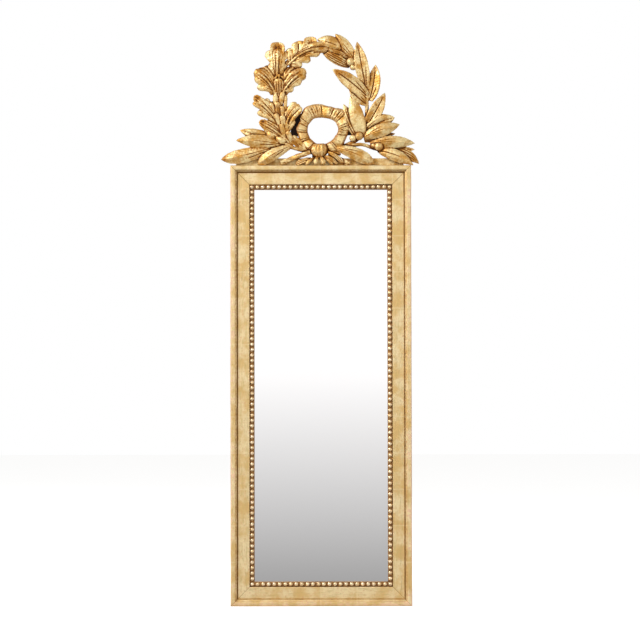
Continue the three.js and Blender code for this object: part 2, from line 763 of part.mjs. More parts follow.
const knot = ribbonKnot();
const knotRoom = ribbonKnot(workGap);
const ringRoom = ribbonRing(workGap);
const boardRoom = crestBoard(workGap);
const oakRoom = branch(oakStem, oakLeaves, oakForm, oakAcorns, workGap);
const laurelRoom = branch(laurelStem, laurelLeaves, laurelForm, laurelBerries, workGap);
const leftSprayRoom = branch(leftSprayStem, leftSprayLeaves, laurelForm, [], workGap);
const rightSprayRoom = branch(rightSprayStem, rightSprayLeaves, laurelForm, sprayBerries, workGap);
const leftCutRoom = cutStem(cutStems.left, workGap);
const rightCutRoom = cutStem(cutStems.right, workGap);
const fanRoom = ribbonEnds(knotRoot, fanEnds, workGap);
const shared = [knotRoom, boardRoom, frameClearance];

addPart('crest_board', crestBoard(), carvedGilt, crest);
addPart('ribbon_knot', cut(knot, [boardRoom]), carvedGilt, crest);
addPart('ribbon_ring', cut(ribbonRing(), shared), carvedGilt, crest);
addPart('oak_branch', cut(
  branch(oakStem, oakLeaves, oakForm, oakAcorns),
  [...shared, ringRoom],
), carvedGilt, crest);
addPart('laurel_branch', cut(
  branch(laurelStem, laurelLeaves, laurelForm, laurelBerries),
  [...shared, ringRoom, oakRoom],
), carvedGilt, crest);
addPart('cut_stem_left', cut(cutStem(cutStems.left), [...shared, ringRoom, oakRoom]), carvedGilt, crest);
addPart('cut_stem_right', cut(cutStem(cutStems.right), [...shared, ringRoom, laurelRoom]), carvedGilt, crest);
addPart('laurel_spray_left', cut(
  branch(leftSprayStem, leftSprayLeaves, laurelForm, []),
  [...shared, ringRoom, oakRoom, leftCutRoom],
), carvedGilt, crest);
addPart('laurel_spray_right', cut(
  branch(rightSprayStem, rightSprayLeaves, laurelForm, sprayBerries),
  [...shared, ringRoom, laurelRoom, rightCutRoom],
), carvedGilt, crest);
addPart('ribbon_fan', cut(
  ribbonEnds(knotRoot, fanEnds),
  [...shared, ringRoom, leftCutRoom, rightCutRoom, leftSprayRoom, rightSprayRoom],
), carvedGilt, crest);
addPart('ribbon_tail', cut(
  ribbonEnds(tailRoot, tailEnds),
  [...shared, ringRoom, laurelRoom, rightCutRoom, rightSprayRoom, fanRoom],
), carvedGilt, crest);

for (const [hand, outline] of Object.entries(bridges)) {
  addPart(`crest_bridge_${hand}`, cut(
    plate(outline, bridgeBack, ringBack - workGap),
    [oakRoom, laurelRoom],
  ), darkWood, crest);
}

const spine = cut(
  plate(
    rectangle(knotCentre - spineWidth / 2, knotCentre + spineWidth / 2, -spineLap, spineRise),
    0,
    spineThickness,
  ),
  spineScrewPlaces().map(([x, z]) => placed(sunkHeadScrew(glueLine), x, z)),
);
addPart('crest_spine', spine, darkWood, crest);
spineScrewPlaces().forEach(([x, z], k) => {
  const screw = addPart(`spine_screw_${k + 1}`, sunkHeadScrew(), steel, crest);
  screw.position.set(x, 0, z);
});

// ---- Hangers -----------------------------------------------------------------------------

const knuckleInner = ringWire / 2 + knuckleClearance;
const knuckleOuter = knuckleInner + strapThickness;
const knuckleBehind = glueLine + knuckleOuter;      // axis of the D-ring behind the frame

// Side view of a strap: a flat leaf whose top is rolled round the bar of the D-ring.
function strapOutline() {
  const leafBack = knuckleBehind - glueLine - strapThickness;
  const rollSteps = 12;
  const rollEnd = THREE.MathUtils.degToRad(285);
  const roll = (radius, k) => {
    const angle = (rollEnd * k) / rollSteps;
    return [-radius * Math.cos(angle), radius * Math.sin(angle)];
  };
  const outer = Array.from({ length: rollSteps + 1 }, (_, k) => roll(knuckleOuter, k));
  const inner = Array.from({ length: rollSteps + 1 }, (_, k) => roll(knuckleInner, rollSteps - k));
  return [[-knuckleOuter, -strapLength], ...outer, ...inner, [-leafBack, -strapLength]];
}

function strap() {
  const shape = new THREE.Shape(strapOutline().map(([y, z]) => new THREE.Vector2(y, z)));
  const geometry = new THREE.ExtrudeGeometry(shape, { depth: strapWidth, bevelEnabled: false });
  geometry.translate(0, 0, -strapWidth / 2);
  geometry.rotateX(Math.PI / 2);
  geometry.rotateZ(Math.PI / 2);
  const holes = [0, 1].map((k) => roundHeadScrew(glueLine)
    .translate([0, strapThickness - knuckleOuter, -screwDrop - k * screwSpacing]));
  return cut(toSolid(geometry), holes);
}

// Round wire along a closed D: the straight bar in the knuckle and a bow below it.
function dRing() {
  const corner = 3.5;
  const path = new THREE.CurvePath();
  const flat = (x, z) => new THREE.Vector3(x, 0, z);
  path.add(new THREE.LineCurve3(flat(-ringHalfWidth + corner, 0), flat(ringHalfWidth - corner, 0)));
  path.add(new THREE.QuadraticBezierCurve3(
    flat(ringHalfWidth - corner, 0), flat(ringHalfWidth, 0), flat(ringHalfWidth, -corner)));
  path.add(new THREE.CubicBezierCurve3(
    flat(ringHalfWidth, -corner), flat(ringHalfWidth, -ringDrop), flat(ringHalfWidth / 2, -ringDrop),
    flat(0, -ringDrop)));
  path.add(new THREE.CubicBezierCurve3(
    flat(0, -ringDrop), flat(-ringHalfWidth / 2, -ringDrop), flat(-ringHalfWidth, -ringDrop),
    flat(-ringHalfWidth, -corner)));
  path.add(new THREE.QuadraticBezierCurve3(
    flat(-ringHalfWidth, -corner), flat(-ringHalfWidth, 0), flat(-ringHalfWidth + corner, 0)));
  const stepsOf = [1, 3, 6, 6, 3];
  const rings = [];
  path.curves.forEach((curve, c) => {
    for (let k = 0; k < stepsOf[c]; k += 1) {
      const middle = curve.getPoint(k / stepsOf[c]);
      const ahead = curve.getTangent(k / stepsOf[c]);
      const aside = new THREE.Vector3(-ahead.z, 0, ahead.x);
      rings.push(circle(middle, aside, new THREE.Vector3(0, 1, 0), ringWire / 2, 8));
    }
  });
  return loft(rings, true);
}

function circle(middle, across, up, radius, sidesCount) {
  return Array.from({ length: sidesCount }, (_, k) => {
    const angle = (2 * Math.PI * (k + 0.5)) / sidesCount;
    return middle.clone()
      .addScaledVector(across, radius * Math.cos(angle))
      .addScaledVector(up, radius * Math.sin(angle));
  });
}

for (const [hand, way] of [['left', -1], ['right', 1]]) {
  const hanger = new THREE.Group();
  hanger.position.set(way * (frameWidth / 2 - hangerInset), knuckleBehind, frameBottom + hangerHeight);
  model.add(hanger);
  addPart(`strap_${hand}`, strap(), steel, hanger);
  addPart(`d_ring_${hand}`, dRing(), steel, hanger);
  for (let k = 0; k < 2; k += 1) {
    const screw = addPart(`strap_screw_${hand}_${k + 1}`, roundHeadScrew(), steel, hanger);
    const seat = strapThickness + glueLine - knuckleOuter;
    screw.position.set(0, seat, -screwDrop - k * screwSpacing);
  }
}

export default model;
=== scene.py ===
# Giltwood pier mirror: pearled frame, silvered glass, carved wreath of oak and laurel tied by a ribbon.
# Sizes are real millimetres; +Z is up, the front faces -Y and the back lies in the plane Y = 0.
import math

import bmesh
import bpy
import numpy as np
from mathutils import Matrix, Vector
from mathutils.kdtree import KDTree


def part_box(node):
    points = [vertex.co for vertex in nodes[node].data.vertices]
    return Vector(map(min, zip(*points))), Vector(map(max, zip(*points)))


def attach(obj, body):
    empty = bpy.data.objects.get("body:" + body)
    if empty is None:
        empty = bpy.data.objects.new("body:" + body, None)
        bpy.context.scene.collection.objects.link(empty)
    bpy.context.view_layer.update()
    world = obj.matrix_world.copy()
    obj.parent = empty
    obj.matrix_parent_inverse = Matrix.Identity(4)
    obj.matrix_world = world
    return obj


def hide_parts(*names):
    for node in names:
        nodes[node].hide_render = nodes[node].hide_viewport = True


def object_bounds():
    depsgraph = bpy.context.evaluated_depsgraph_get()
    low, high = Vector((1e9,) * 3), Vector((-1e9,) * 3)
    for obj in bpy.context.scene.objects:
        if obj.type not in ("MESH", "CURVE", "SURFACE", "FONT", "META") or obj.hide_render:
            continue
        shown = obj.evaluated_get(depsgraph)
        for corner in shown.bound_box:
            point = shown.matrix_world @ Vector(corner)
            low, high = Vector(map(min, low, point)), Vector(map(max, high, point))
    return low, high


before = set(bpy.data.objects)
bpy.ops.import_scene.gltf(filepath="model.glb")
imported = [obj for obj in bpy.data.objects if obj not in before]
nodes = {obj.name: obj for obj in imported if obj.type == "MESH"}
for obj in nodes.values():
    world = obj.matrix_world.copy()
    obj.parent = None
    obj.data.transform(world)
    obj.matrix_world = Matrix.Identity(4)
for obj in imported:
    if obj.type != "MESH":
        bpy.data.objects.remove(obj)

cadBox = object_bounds()
mm = 0.001


# ------ small helpers

def toLinear(hexColour, alpha=1.0):
    parts = [int(hexColour[i:i + 2], 16) / 255 for i in (0, 2, 4)]
    return tuple(c / 12.92 if c <= 0.04045 else ((c + 0.055) / 1.055) ** 2.4 for c in parts) + (alpha,)


def addNode(tree, kind, inputs=None, **settings):
    node = tree.nodes.new(kind)
    for key, value in settings.items():
        setattr(node, key, value)
    for key, value in (inputs or {}).items():
        if isinstance(value, bpy.types.NodeSocket):
            tree.links.new(value, node.inputs[key])
        else:
            node.inputs[key].default_value = value
    return node


def newMaterial(name):
    material = bpy.data.materials.new(name)
    material.use_nodes = True
    material.node_tree.nodes.clear()
    return material, material.node_tree


def finishMaterial(tree, shader):
    addNode(tree, "ShaderNodeOutputMaterial", {"Surface": shader.outputs[0]})


def newObject(name, data):
    thing = bpy.data.objects.new(name, data)
    bpy.context.scene.collection.objects.link(thing)
    return thing


def newMesh(name, points, faces, smooth=True):
    mesh = bpy.data.meshes.new(name)
    mesh.from_pydata([tuple(p) for p in points], [], faces)
    mesh.update()
    if smooth:
        mesh.shade_smooth()
    return newObject(name, mesh)


def turnOutward(thing):
    # faces turned to point out of the closed body
    body = bmesh.new()
    body.from_mesh(thing.data)
    bmesh.ops.recalc_face_normals(body, faces=body.faces)
    body.to_mesh(thing.data)
    body.free()
    return thing


def newBlock(name, low, high):
    # a plain block between two corners in millimetres
    corners = [(x, y, z) for z in (high[2], low[2])
               for x, y in ((low[0], high[1]), (high[0], high[1]), (high[0], low[1]), (low[0], low[1]))]
    faces = [(0, 1, 2, 3), (7, 6, 5, 4), (0, 4, 5, 1), (1, 5, 6, 2), (2, 6, 7, 3), (3, 7, 4, 0)]
    return turnOutward(newMesh(name, [Vector(p) * mm for p in corners], faces, smooth=False))


def circle(radius, y, around):
    angles = [2 * math.pi * k / around for k in range(around)]
    return [(radius * math.cos(a), y, radius * math.sin(a)) for a in angles]


def bands(first, rows, around):
    # the faces between rows of points that run round a body
    starts = [(first + r * around, first + (r + 1) * around) for r in range(rows - 1)]
    return [(a + k, a + (k + 1) % around, b + (k + 1) % around, b + k)
            for a, b in starts for k in range(around)]


def turned(name, profile, around, size=mm, foot=None):
    # a body turned about the Y axis from (radius, y) places, the crown first; its end is flat,
    # or closed round a foot point
    points = [(0, profile[0][1], 0)]
    for radius, y in profile[1:]:
        points += circle(radius, y, around)
    rows = len(profile) - 1
    last = 1 + (rows - 1) * around
    faces = [(0, 1 + (k + 1) % around, 1 + k) for k in range(around)] + bands(1, rows, around)
    if foot is None:
        faces.append(tuple(range(last, last + around)))
    else:
        faces += [(last + k, last + (k + 1) % around, len(points)) for k in range(around)]
        points.append((0, foot, 0))
    return turnOutward(newMesh(name, [Vector(p) * size for p in points], faces))


def settle(thing):
    # the evaluated shape becomes the piece's own plain mesh, and its modifiers go
    graph = bpy.context.evaluated_depsgraph_get()
    mesh = bpy.data.meshes.new_from_object(thing.evaluated_get(graph))
    thing.modifiers.clear()
    old = thing.data
    thing.data = mesh
    mesh.name = thing.name
    bpy.data.meshes.remove(old)
    return thing


def newGroup(name, values):
    # a Geometry Nodes tree that takes a mesh and the named values
    tree = bpy.data.node_groups.new(name, "GeometryNodeTree")
    for label, kind in {"Geometry": "Geometry", **values}.items():
        tree.interface.new_socket(label, in_out="INPUT", socket_type="NodeSocket" + kind)
    tree.interface.new_socket("Geometry", in_out="OUTPUT", socket_type="NodeSocketGeometry")
    return tree, addNode(tree, "NodeGroupInput").outputs


def finishGroup(tree, shape, finish):
    real = addNode(tree, "GeometryNodeRealizeInstances", {"Geometry": shape})
    done = addNode(tree, "GeometryNodeSetMaterial", {"Geometry": real.outputs[0], "Material": finish})
    addNode(tree, "NodeGroupOutput", {"Geometry": done.outputs[0]})


def randomBetween(tree, low, high, seed, kind="FLOAT_VECTOR"):
    # a value of its own for every point
    order = ("FLOAT_VECTOR", "FLOAT").index(kind)
    return addNode(tree, "FunctionNodeRandomValue", {2 * order: low, 2 * order + 1: high, "Seed": seed},
                   data_type=kind).outputs[order]


def runTree(thing, tree, values):
    modifier = thing.modifiers.new(tree.name, "NODES")
    modifier.node_group = tree
    named = {s.name: s.identifier for s in tree.interface.items_tree if s.in_out == "INPUT"}
    for name, value in values.items():
        modifier[named[name]] = value
    return settle(thing)


def placesOf(mesh, kind="co"):
    flat = np.empty(len(mesh.vertices) * 3)
    mesh.vertices.foreach_get(kind, flat)
    return flat.reshape(-1, 3)


def normalsOf(mesh):
    return placesOf(mesh, "normal")


def edgesOf(mesh):
    flat = np.empty(len(mesh.edges) * 2, dtype=np.int64)
    mesh.edges.foreach_get("vertices", flat)
    return flat.reshape(-1, 2)


def writePlaces(mesh, places):
    mesh.vertices.foreach_set("co", places.ravel())
    mesh.update()


def writeShares(mesh, name, shares):
    # a share from 0 to 1 at every point, which the finishes read by its name
    layer = mesh.attributes.get(name) or mesh.attributes.new(name, "FLOAT", "POINT")
    layer.data.foreach_set("value", np.clip(shares, 0, 1).astype(np.float32).ravel())


def keepInside(mesh, margin=0.02 * mm):
    # unevenness never carries a surface past the size of the real object
    low, high = np.array(cadBox)
    writePlaces(mesh, np.clip(placesOf(mesh), low + margin, high - margin))


def waves(places, size, seed, count=9):
    # smooth unevenness between about -1 and 1, from a few crossing waves of about one size
    draw = np.random.default_rng(seed)
    total = np.zeros(len(places))
    for _ in range(count):
        way = draw.normal(size=3)
        way /= np.linalg.norm(way)
        length = size * draw.uniform(0.7, 1.5)
        total += np.sin(places @ way * (2 * math.pi / length) + draw.uniform(0, 6.28))
    return total / math.sqrt(count)


def handWorked(mesh, look, seed):
    # a shaped surface is never quite true: it swells and sinks a little along its normals
    rise = waves(placesOf(mesh), look["unevenSize"] * mm, seed) * (look["unevenness"] * mm)
    writePlaces(mesh, placesOf(mesh) + normalsOf(mesh) * rise[:, None])


def smoothed(places, edges, rounds, pull=0.6):
    # each point moves towards the mean of its neighbours, again and again
    ends = np.concatenate([edges[:, 0], edges[:, 1]])
    others = np.concatenate([edges[:, 1], edges[:, 0]])
    share = np.bincount(ends, minlength=len(places))[:, None]
    for _ in range(rounds):
        sums = np.stack([np.bincount(ends, places[others, k], len(places)) for k in range(3)], 1)
        places = (1 - pull) * places + pull * sums / np.maximum(share, 1)
    return places


# painted shade: slopes that face away from the light, which falls from above and from the left,
# are darkened
awayShading = {"away": (0.42, 0, -0.9), "from": 0.12, "amount": 0.34}


def markWear(mesh, fine=0.25, broad=1.6, fineRounds=5, broadRounds=60):
    # recess: 0 on open ground, 1 in grooves and hollows, where dark toning gathers; painted
    # shade is added on slopes that face away from the light
    # rub: 1 on the proud edges that hands and dusters reach
    places, edges, outward = placesOf(mesh), edgesOf(mesh), normalsOf(mesh)
    near = smoothed(places, edges, fineRounds)
    far = smoothed(near, edges, broadRounds)
    sunkNear = ((near - places) * outward).sum(1) / (fine * mm)
    sunkFar = ((far - places) * outward).sum(1) / (broad * mm)
    # painted shade on the slopes that face away from the light
    awayFromLight = awayShading["amount"] * np.maximum(0, outward @ np.array(awayShading["away"]) - awayShading["from"])
    writeShares(mesh, "recess", sunkNear * 0.6 + sunkFar * 0.8 + awayFromLight)
    writeShares(mesh, "rub", -sunkNear * 0.8 - sunkFar * 0.3)


def darken(mesh, amount):
    was = np.empty(len(mesh.vertices), dtype=np.float32)
    mesh.attributes["recess"].data.foreach_get("value", was)
    writeShares(mesh, "recess", was + amount)


def dress(thing, material, slot, *replaced, body="mirror"):
    thing.data.materials.clear()
    thing.data.materials.append(material)
    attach(thing, body)
    if replaced:
        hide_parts(*replaced)


# ------ camera: a long lens square to the mirror's width, a little below its middle and looking up,
# which draws the foot of the frame slightly wider than its head, as in the photograph

view = {
    "across": 1343 * mm,          # what 640 pixels span at the front of the mirror
    "middle": (-2.0 * mm, -30 * mm, 581.8 * mm),
    "distance": 4.6,
    "upward": 1.5,                # degrees
    "turn": -0.09,
    "filmWidth": 36,
}

cameraData = bpy.data.cameras.new("camera")
cameraData.sensor_width = view["filmWidth"]
cameraData.lens = cameraData.sensor_width * view["distance"] / view["across"]
camera = newObject("camera", cameraData)
camera.matrix_world = (
    Matrix.Translation(view["middle"])
    @ Matrix.Rotation(math.radians(90 + view["upward"]), 4, "X")
    @ Matrix.Rotation(math.radians(view["turn"]), 4, "Z")
    @ Matrix.Translation((0, 0, view["distance"]))
)
bpy.context.scene.camera = camera
bpy.context.scene.view_settings.view_transform = "Standard"
print("camera set")


# ------ studio: white surround, a floor that the glass and the gold see as a grey falling away

studio = {
    "ambient": 0.38,
    # what shining things see, from straight down to straight up: the sine of the elevation and a grey
    "surround": [(-1, 0.3), (-0.0925, 0.365), (0.003, 1.0), (0.35, 0.98), (0.62, 0.5), (1, 0.42)],
    "surroundStrength": 1.06,
    "lamps": {                    # power, place, size, and the height that it is aimed at
        "keyLight": (104, (-2.3, -2.3, 2.7), 1.3, 0.7),
        "fillLight": (12, (2.4, -2.8, 0.9), 1.6, 0.5),
        "backLight": (40, (1.7, 2.8, 1.9), 1.8, 0.6),      # keeps the bare wood behind from going black
    },
    "floorReach": 9, "paper": "f2f1ef", "paperGlow": 0.62,
}
plainWhite = (1, 1, 1, 1)


def setSurround(look):
    world = bpy.data.worlds.new("studio")
    world.use_nodes = True
    bpy.context.scene.world = world
    tree = world.node_tree
    tree.nodes.clear()
    way = addNode(tree, "ShaderNodeTexCoord")
    split = addNode(tree, "ShaderNodeSeparateXYZ", {0: way.outputs["Generated"]})
    share = addNode(tree, "ShaderNodeMapRange", {"Value": split.outputs["Z"], "From Min": -1, "From Max": 1})
    fall = addNode(tree, "ShaderNodeValToRGB", {"Fac": share.outputs[0]})
    stops = fall.color_ramp.elements
    while len(stops) < len(look["surround"]):
        stops.new(0.5)
    for stop, (sine, grey) in zip(stops, look["surround"]):
        stop.position = (sine + 1) / 2
        stop.color = (grey, grey, grey, 1)
    ray = addNode(tree, "ShaderNodeLightPath").outputs
    ambient, shone, white = (
        addNode(tree, "ShaderNodeBackground", {"Color": colour, "Strength": strength}).outputs[0]
        for colour, strength in ((plainWhite, look["ambient"]), (fall.outputs[0], look["surroundStrength"]),
                                 (plainWhite, 1.0)))
    glossy = addNode(tree, "ShaderNodeMath", {0: ray["Is Glossy Ray"], 1: ray["Is Transmission Ray"]},
                     operation="MAXIMUM")
    lower = addNode(tree, "ShaderNodeMixShader", {0: glossy.outputs[0], 1: ambient, 2: shone})
    upper = addNode(tree, "ShaderNodeMixShader", {0: ray["Is Camera Ray"], 1: lower.outputs[0], 2: white})
    addNode(tree, "ShaderNodeOutputWorld", {"Surface": upper.outputs[0]})


def addLamp(name, power, place, size, aim):
    lamp = bpy.data.lights.new(name, "AREA")
    lamp.energy = power
    lamp.size = size
    toAim = Vector((0, 0, aim)) - Vector(place)
    newObject(name, lamp).matrix_world = (
        Matrix.Translation(place) @ toAim.to_track_quat("-Z", "Y").to_matrix().to_4x4())


def layFloor(look):
    # plain for the eye: white with the object's soft shadow; shining things look through it to the surround
    material, tree = newMaterial("pale paper floor")
    ray = addNode(tree, "ShaderNodeLightPath").outputs
    paper = addNode(tree, "ShaderNodeBsdfDiffuse", {"Color": toLinear(look["paper"])})
    glow = addNode(tree, "ShaderNodeEmission", {"Color": plainWhite, "Strength": look["paperGlow"]})
    lit = addNode(tree, "ShaderNodeAddShader", {0: paper.outputs[0], 1: glow.outputs[0]})
    seen = addNode(tree, "ShaderNodeMixShader", {
        0: ray["Is Camera Ray"], 1: paper.outputs[0], 2: lit.outputs[0]})
    gone = addNode(tree, "ShaderNodeBsdfTransparent")
    finishMaterial(tree, addNode(tree, "ShaderNodeMixShader", {
        0: ray["Is Glossy Ray"], 1: seen.outputs[0], 2: gone.outputs[0]}))
    reach, level = look["floorReach"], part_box("edge_moulding_bottom")[0][2]
    corners = [(-reach, -reach, level), (reach, -reach, level), (reach, reach, level), (-reach, reach, level)]
    floorThing = newMesh("floor", corners, [(0, 1, 2, 3)], smooth=False)
    floorThing.data.materials.append(material)


setSurround(studio)
for name, lamp in studio["lamps"].items():
    addLamp(name, *lamp)
layFloor(studio)
print("studio set")


# ------ finishes

def shadingTools(tree):
    # the kinds of node that the finishes are worked out with; patterns are sized in millimetres
    def noise(where, size, detail=2.0, roughness=0.5):
        return addNode(tree, "ShaderNodeTexNoise", {
            "Vector": where, "Scale": 1 / (size * mm), "Detail": detail, "Roughness": roughness}).outputs[0]

    def cells(where, gap):
        return addNode(tree, "ShaderNodeTexVoronoi", {"Vector": where, "Scale": 1 / (gap * mm)}).outputs

    def stretched(where, scale):
        return addNode(tree, "ShaderNodeMapping", {"Vector": where, "Scale": scale}).outputs[0]

    def between(value, low, high, atLow=0.0, atHigh=1.0, kind="SMOOTHSTEP"):
        return addNode(tree, "ShaderNodeMapRange", {
            "Value": value, "From Min": low, "From Max": high, "To Min": atLow, "To Max": atHigh},
            interpolation_type=kind).outputs[0]

    def calc(kind, *values):
        return addNode(tree, "ShaderNodeMath", dict(enumerate(values)), operation=kind).outputs[0]

    def blend(share, first, second, kind="MIX"):
        return addNode(tree, "ShaderNodeMix", {0: share, 6: first, 7: second}, data_type="RGBA",
                       blend_type=kind).outputs[2]

    return noise, cells, stretched, between, calc, blend


def placeIn(tree):
    return addNode(tree, "ShaderNodeTexCoord").outputs["Object"]


def giltMaterial(name, look):
    # Water gilding: gold leaf laid over red bole on gesso, burnished, then toned with brown glaze.
    # The leaf shines softly and warm, the glaze sits dull and dark in the hollows, and rubbing
    # brings the red bole, then pale gesso, up on the proud edges.
    material, tree = newMaterial(name)
    noise, cells, stretched, between, calc, blend = shadingTools(tree)
    place = placeIn(tree)
    cloud = noise(place, look["cloudSize"], 3.0, 0.6)
    mottle = noise(place, look["mottleSize"], 4.0, 0.65)
    grit = noise(place, look["gritSize"])
    # brushed on and rubbed lengthwise: streaks of thinner leaf, and a few long fine scratches
    drawn = stretched(place, look["brush"])
    streak = noise(drawn, look["streakSize"], 3.0, 0.7)
    scratch = noise(stretched(drawn, look["score"]), look["scratchSize"])
    recess = addNode(tree, "ShaderNodeAttribute", attribute_name="recess").outputs["Fac"]
    rub = addNode(tree, "ShaderNodeAttribute", attribute_name="rub").outputs["Fac"]

    def unevenly(value, pattern, amount):
        return calc("ADD", value, calc("MULTIPLY", calc("SUBTRACT", pattern, 0.5), amount))

    def patches(pattern, low, high, amount, under, colour):
        return blend(between(pattern, low, high, 0.0, look[amount]), under, toLinear(look[colour]))

    leaf = blend(between(cloud, 0.35, 0.65), toLinear(look["leafDeep"]), toLinear(look["leafPale"]))
    leaf = patches(mottle, 0.5, 0.72, "mottle", leaf, "leafRed")
    leaf = patches(streak, 0.46, 0.7, "streak", leaf, "leafOlive")
    # leaf comes in squares; where two overlap by a few millimetres the gold is doubled
    across = addNode(tree, "ShaderNodeSeparateXYZ", {0: place}).outputs[look["along"]]
    shifted = calc("ADD", calc("DIVIDE", across, look["leafSquare"] * mm), calc("MULTIPLY", mottle, 0.03))
    lap = between(calc("ABSOLUTE", calc("SUBTRACT", calc("FRACT", shifted), 0.5)), 0.478, 0.482)
    leaf = blend(calc("MULTIPLY", lap, look["lap"]), leaf, toLinear(look["leafPale"]))
    # glaze: thick in recesses, thin and cloudy elsewhere
    soot = unevenly(recess, mottle, 0.7)
    thin = between(soot, look["glazeFrom"], look["glazeTo"])
    toned = blend(calc("MULTIPLY", thin, look["glaze"]), leaf, toLinear(look["glazeColour"]))
    deep = between(soot, look["glazeTo"], look["glazeTo"] + 0.5)
    toned = blend(calc("MULTIPLY", deep, look["soot"]), toned, toLinear(look["sootColour"]))
    # wear: bole first, gesso where the rubbing went through
    worn = unevenly(unevenly(rub, cloud, 1.1), mottle, 1.3)
    bole = between(worn, look["boleFrom"], look["boleFrom"] + 0.16)
    toned = blend(calc("MULTIPLY", bole, look["bole"]), toned, toLinear(look["boleColour"]))
    flaked = calc("ADD", worn, calc("MULTIPLY", grit, 0.4))
    chips = between(flaked, look["gessoFrom"], look["gessoFrom"] + 0.08)
    toned = blend(chips, toned, toLinear(look["gesso"]))
    # specks: tiny dark nicks and fly spots
    spots = cells(place, look["speckGap"])
    nick = between(spots["Distance"], 0.03, look["speckSize"], 1.0, 0.0)
    chosen = addNode(tree, "ShaderNodeSeparateColor", {0: spots["Color"]}).outputs[0]
    nick = calc("MULTIPLY", calc("MULTIPLY", nick, between(chosen, 0.72, 0.74)), look["speck"])
    nick = calc("MAXIMUM", nick, between(scratch, 0.735, 0.76, 0.0, look["scratch"]))
    toned = blend(nick, toned, toLinear(look["nick"]))
    dull = calc("MAXIMUM", calc("MULTIPLY", thin, 0.6), calc("MAXIMUM", bole, nick))
    grain = between(grit, 0.3, 0.7, look["roughness"] - 0.05, look["roughness"] + 0.07)
    rough = calc("ADD", grain, calc("MULTIPLY", dull, 0.22))
    metal = calc("SUBTRACT", look["metal"], calc("MULTIPLY", dull, look["metal"] * 0.8))
    height = calc("ADD", calc("MULTIPLY", mottle, 0.6), calc("MULTIPLY", grit, 0.25))
    height = calc("SUBTRACT", height, calc("MULTIPLY", nick, 0.8))
    bump = addNode(tree, "ShaderNodeBump", {
        "Height": height, "Strength": look["bump"], "Distance": look["bumpDepth"] * mm})
    finishMaterial(tree, addNode(tree, "ShaderNodeBsdfPrincipled", {
        "Base Color": toned, "Metallic": metal, "Roughness": rough, "Specular IOR Level": look["specular"],
        "Normal": bump.outputs[0]}))
    return material


uprightBrush, levelBrush = (1, 1, 0.16), (0.16, 1, 1)
frameLook = {
    "leafDeep": "e3be7c", "leafPale": "f6dfae", "leafRed": "dfac7a", "leafOlive": "c9b172",
    "cloudSize": 34, "mottle": 0.6, "mottleSize": 4.5, "gritSize": 0.9,
    "streak": 0.5, "streakSize": 3.4, "brush": uprightBrush,
    "lap": 0.35, "leafSquare": 76, "along": 2,
    "glazeFrom": 0.25, "glazeTo": 0.8, "glaze": 0.92, "glazeColour": "a4702e", "soot": 0.95,
    "sootColour": "3a1804",
    "boleFrom": 0.72, "bole": 0.72, "boleColour": "e8bd9a", "gessoFrom": 1.7, "gesso": "e8d9bd",
    "speckGap": 8, "speckSize": 0.1, "speck": 0.8, "nick": "5c3413",
    "scratch": 0.6, "scratchSize": 1.6, "score": (1, 1, 0.2),
    "roughness": 0.42, "metal": 0.6, "specular": 0.35, "bump": 0.4, "bumpDepth": 0.25,
}
uprightGilt = giltMaterial("water gilding, rubbed upright", frameLook)
levelGilt = giltMaterial("water gilding, rubbed level", dict(
    frameLook, brush=levelBrush, score=(0.2, 1, 1), along=0))
# beads are burnished over red bole and handled most, so they are paler and pinker on their crowns
pearlGilt = giltMaterial("burnished gilding on pearls", dict(
    frameLook, leafDeep="edcb98", leafPale="fee9c6", leafRed="ecbe98", leafOlive="dcc08c", streak=0.3,
    lap=0.0, scratch=0.0, speck=0.2, roughness=0.34, cloudSize=9, boleColour="d08a60", boleFrom=0.95,
    bole=0.4))
carvingGilt = giltMaterial("carved gilding with brown toning", dict(
    frameLook, leafDeep="cc9444", leafPale="fae1a6", leafRed="c98a50", leafOlive="d2b36a", mottle=0.65,
    streak=0.45, cloudSize=20, glazeFrom=0.06, glazeTo=0.52, glaze=0.9, glazeColour="a86608",
    sootColour="582a04", boleFrom=0.98, bole=0.55, boleColour="b87440", gessoFrom=2.2, speckGap=7, speck=0.55,
    scratch=0.0, lap=0.0, roughness=0.42, metal=0.45, bump=0.45, specular=0.2, brush=(1, 1, 1)))
# the outer sides of the frame, seldom seen: yellow ochre size brushed thinly over gesso
sideOchre = giltMaterial("yellow ochre size on gesso", dict(
    frameLook, leafDeep="b98a45", leafPale="d9b276", leafRed="c69a63", leafOlive="a58a55", streak=0.85,
    lap=0.0, glazeColour="7a5226", metal=0.0, roughness=0.66, bump=0.6, cloudSize=48, gessoFrom=1.35,
    boleFrom=1.1))


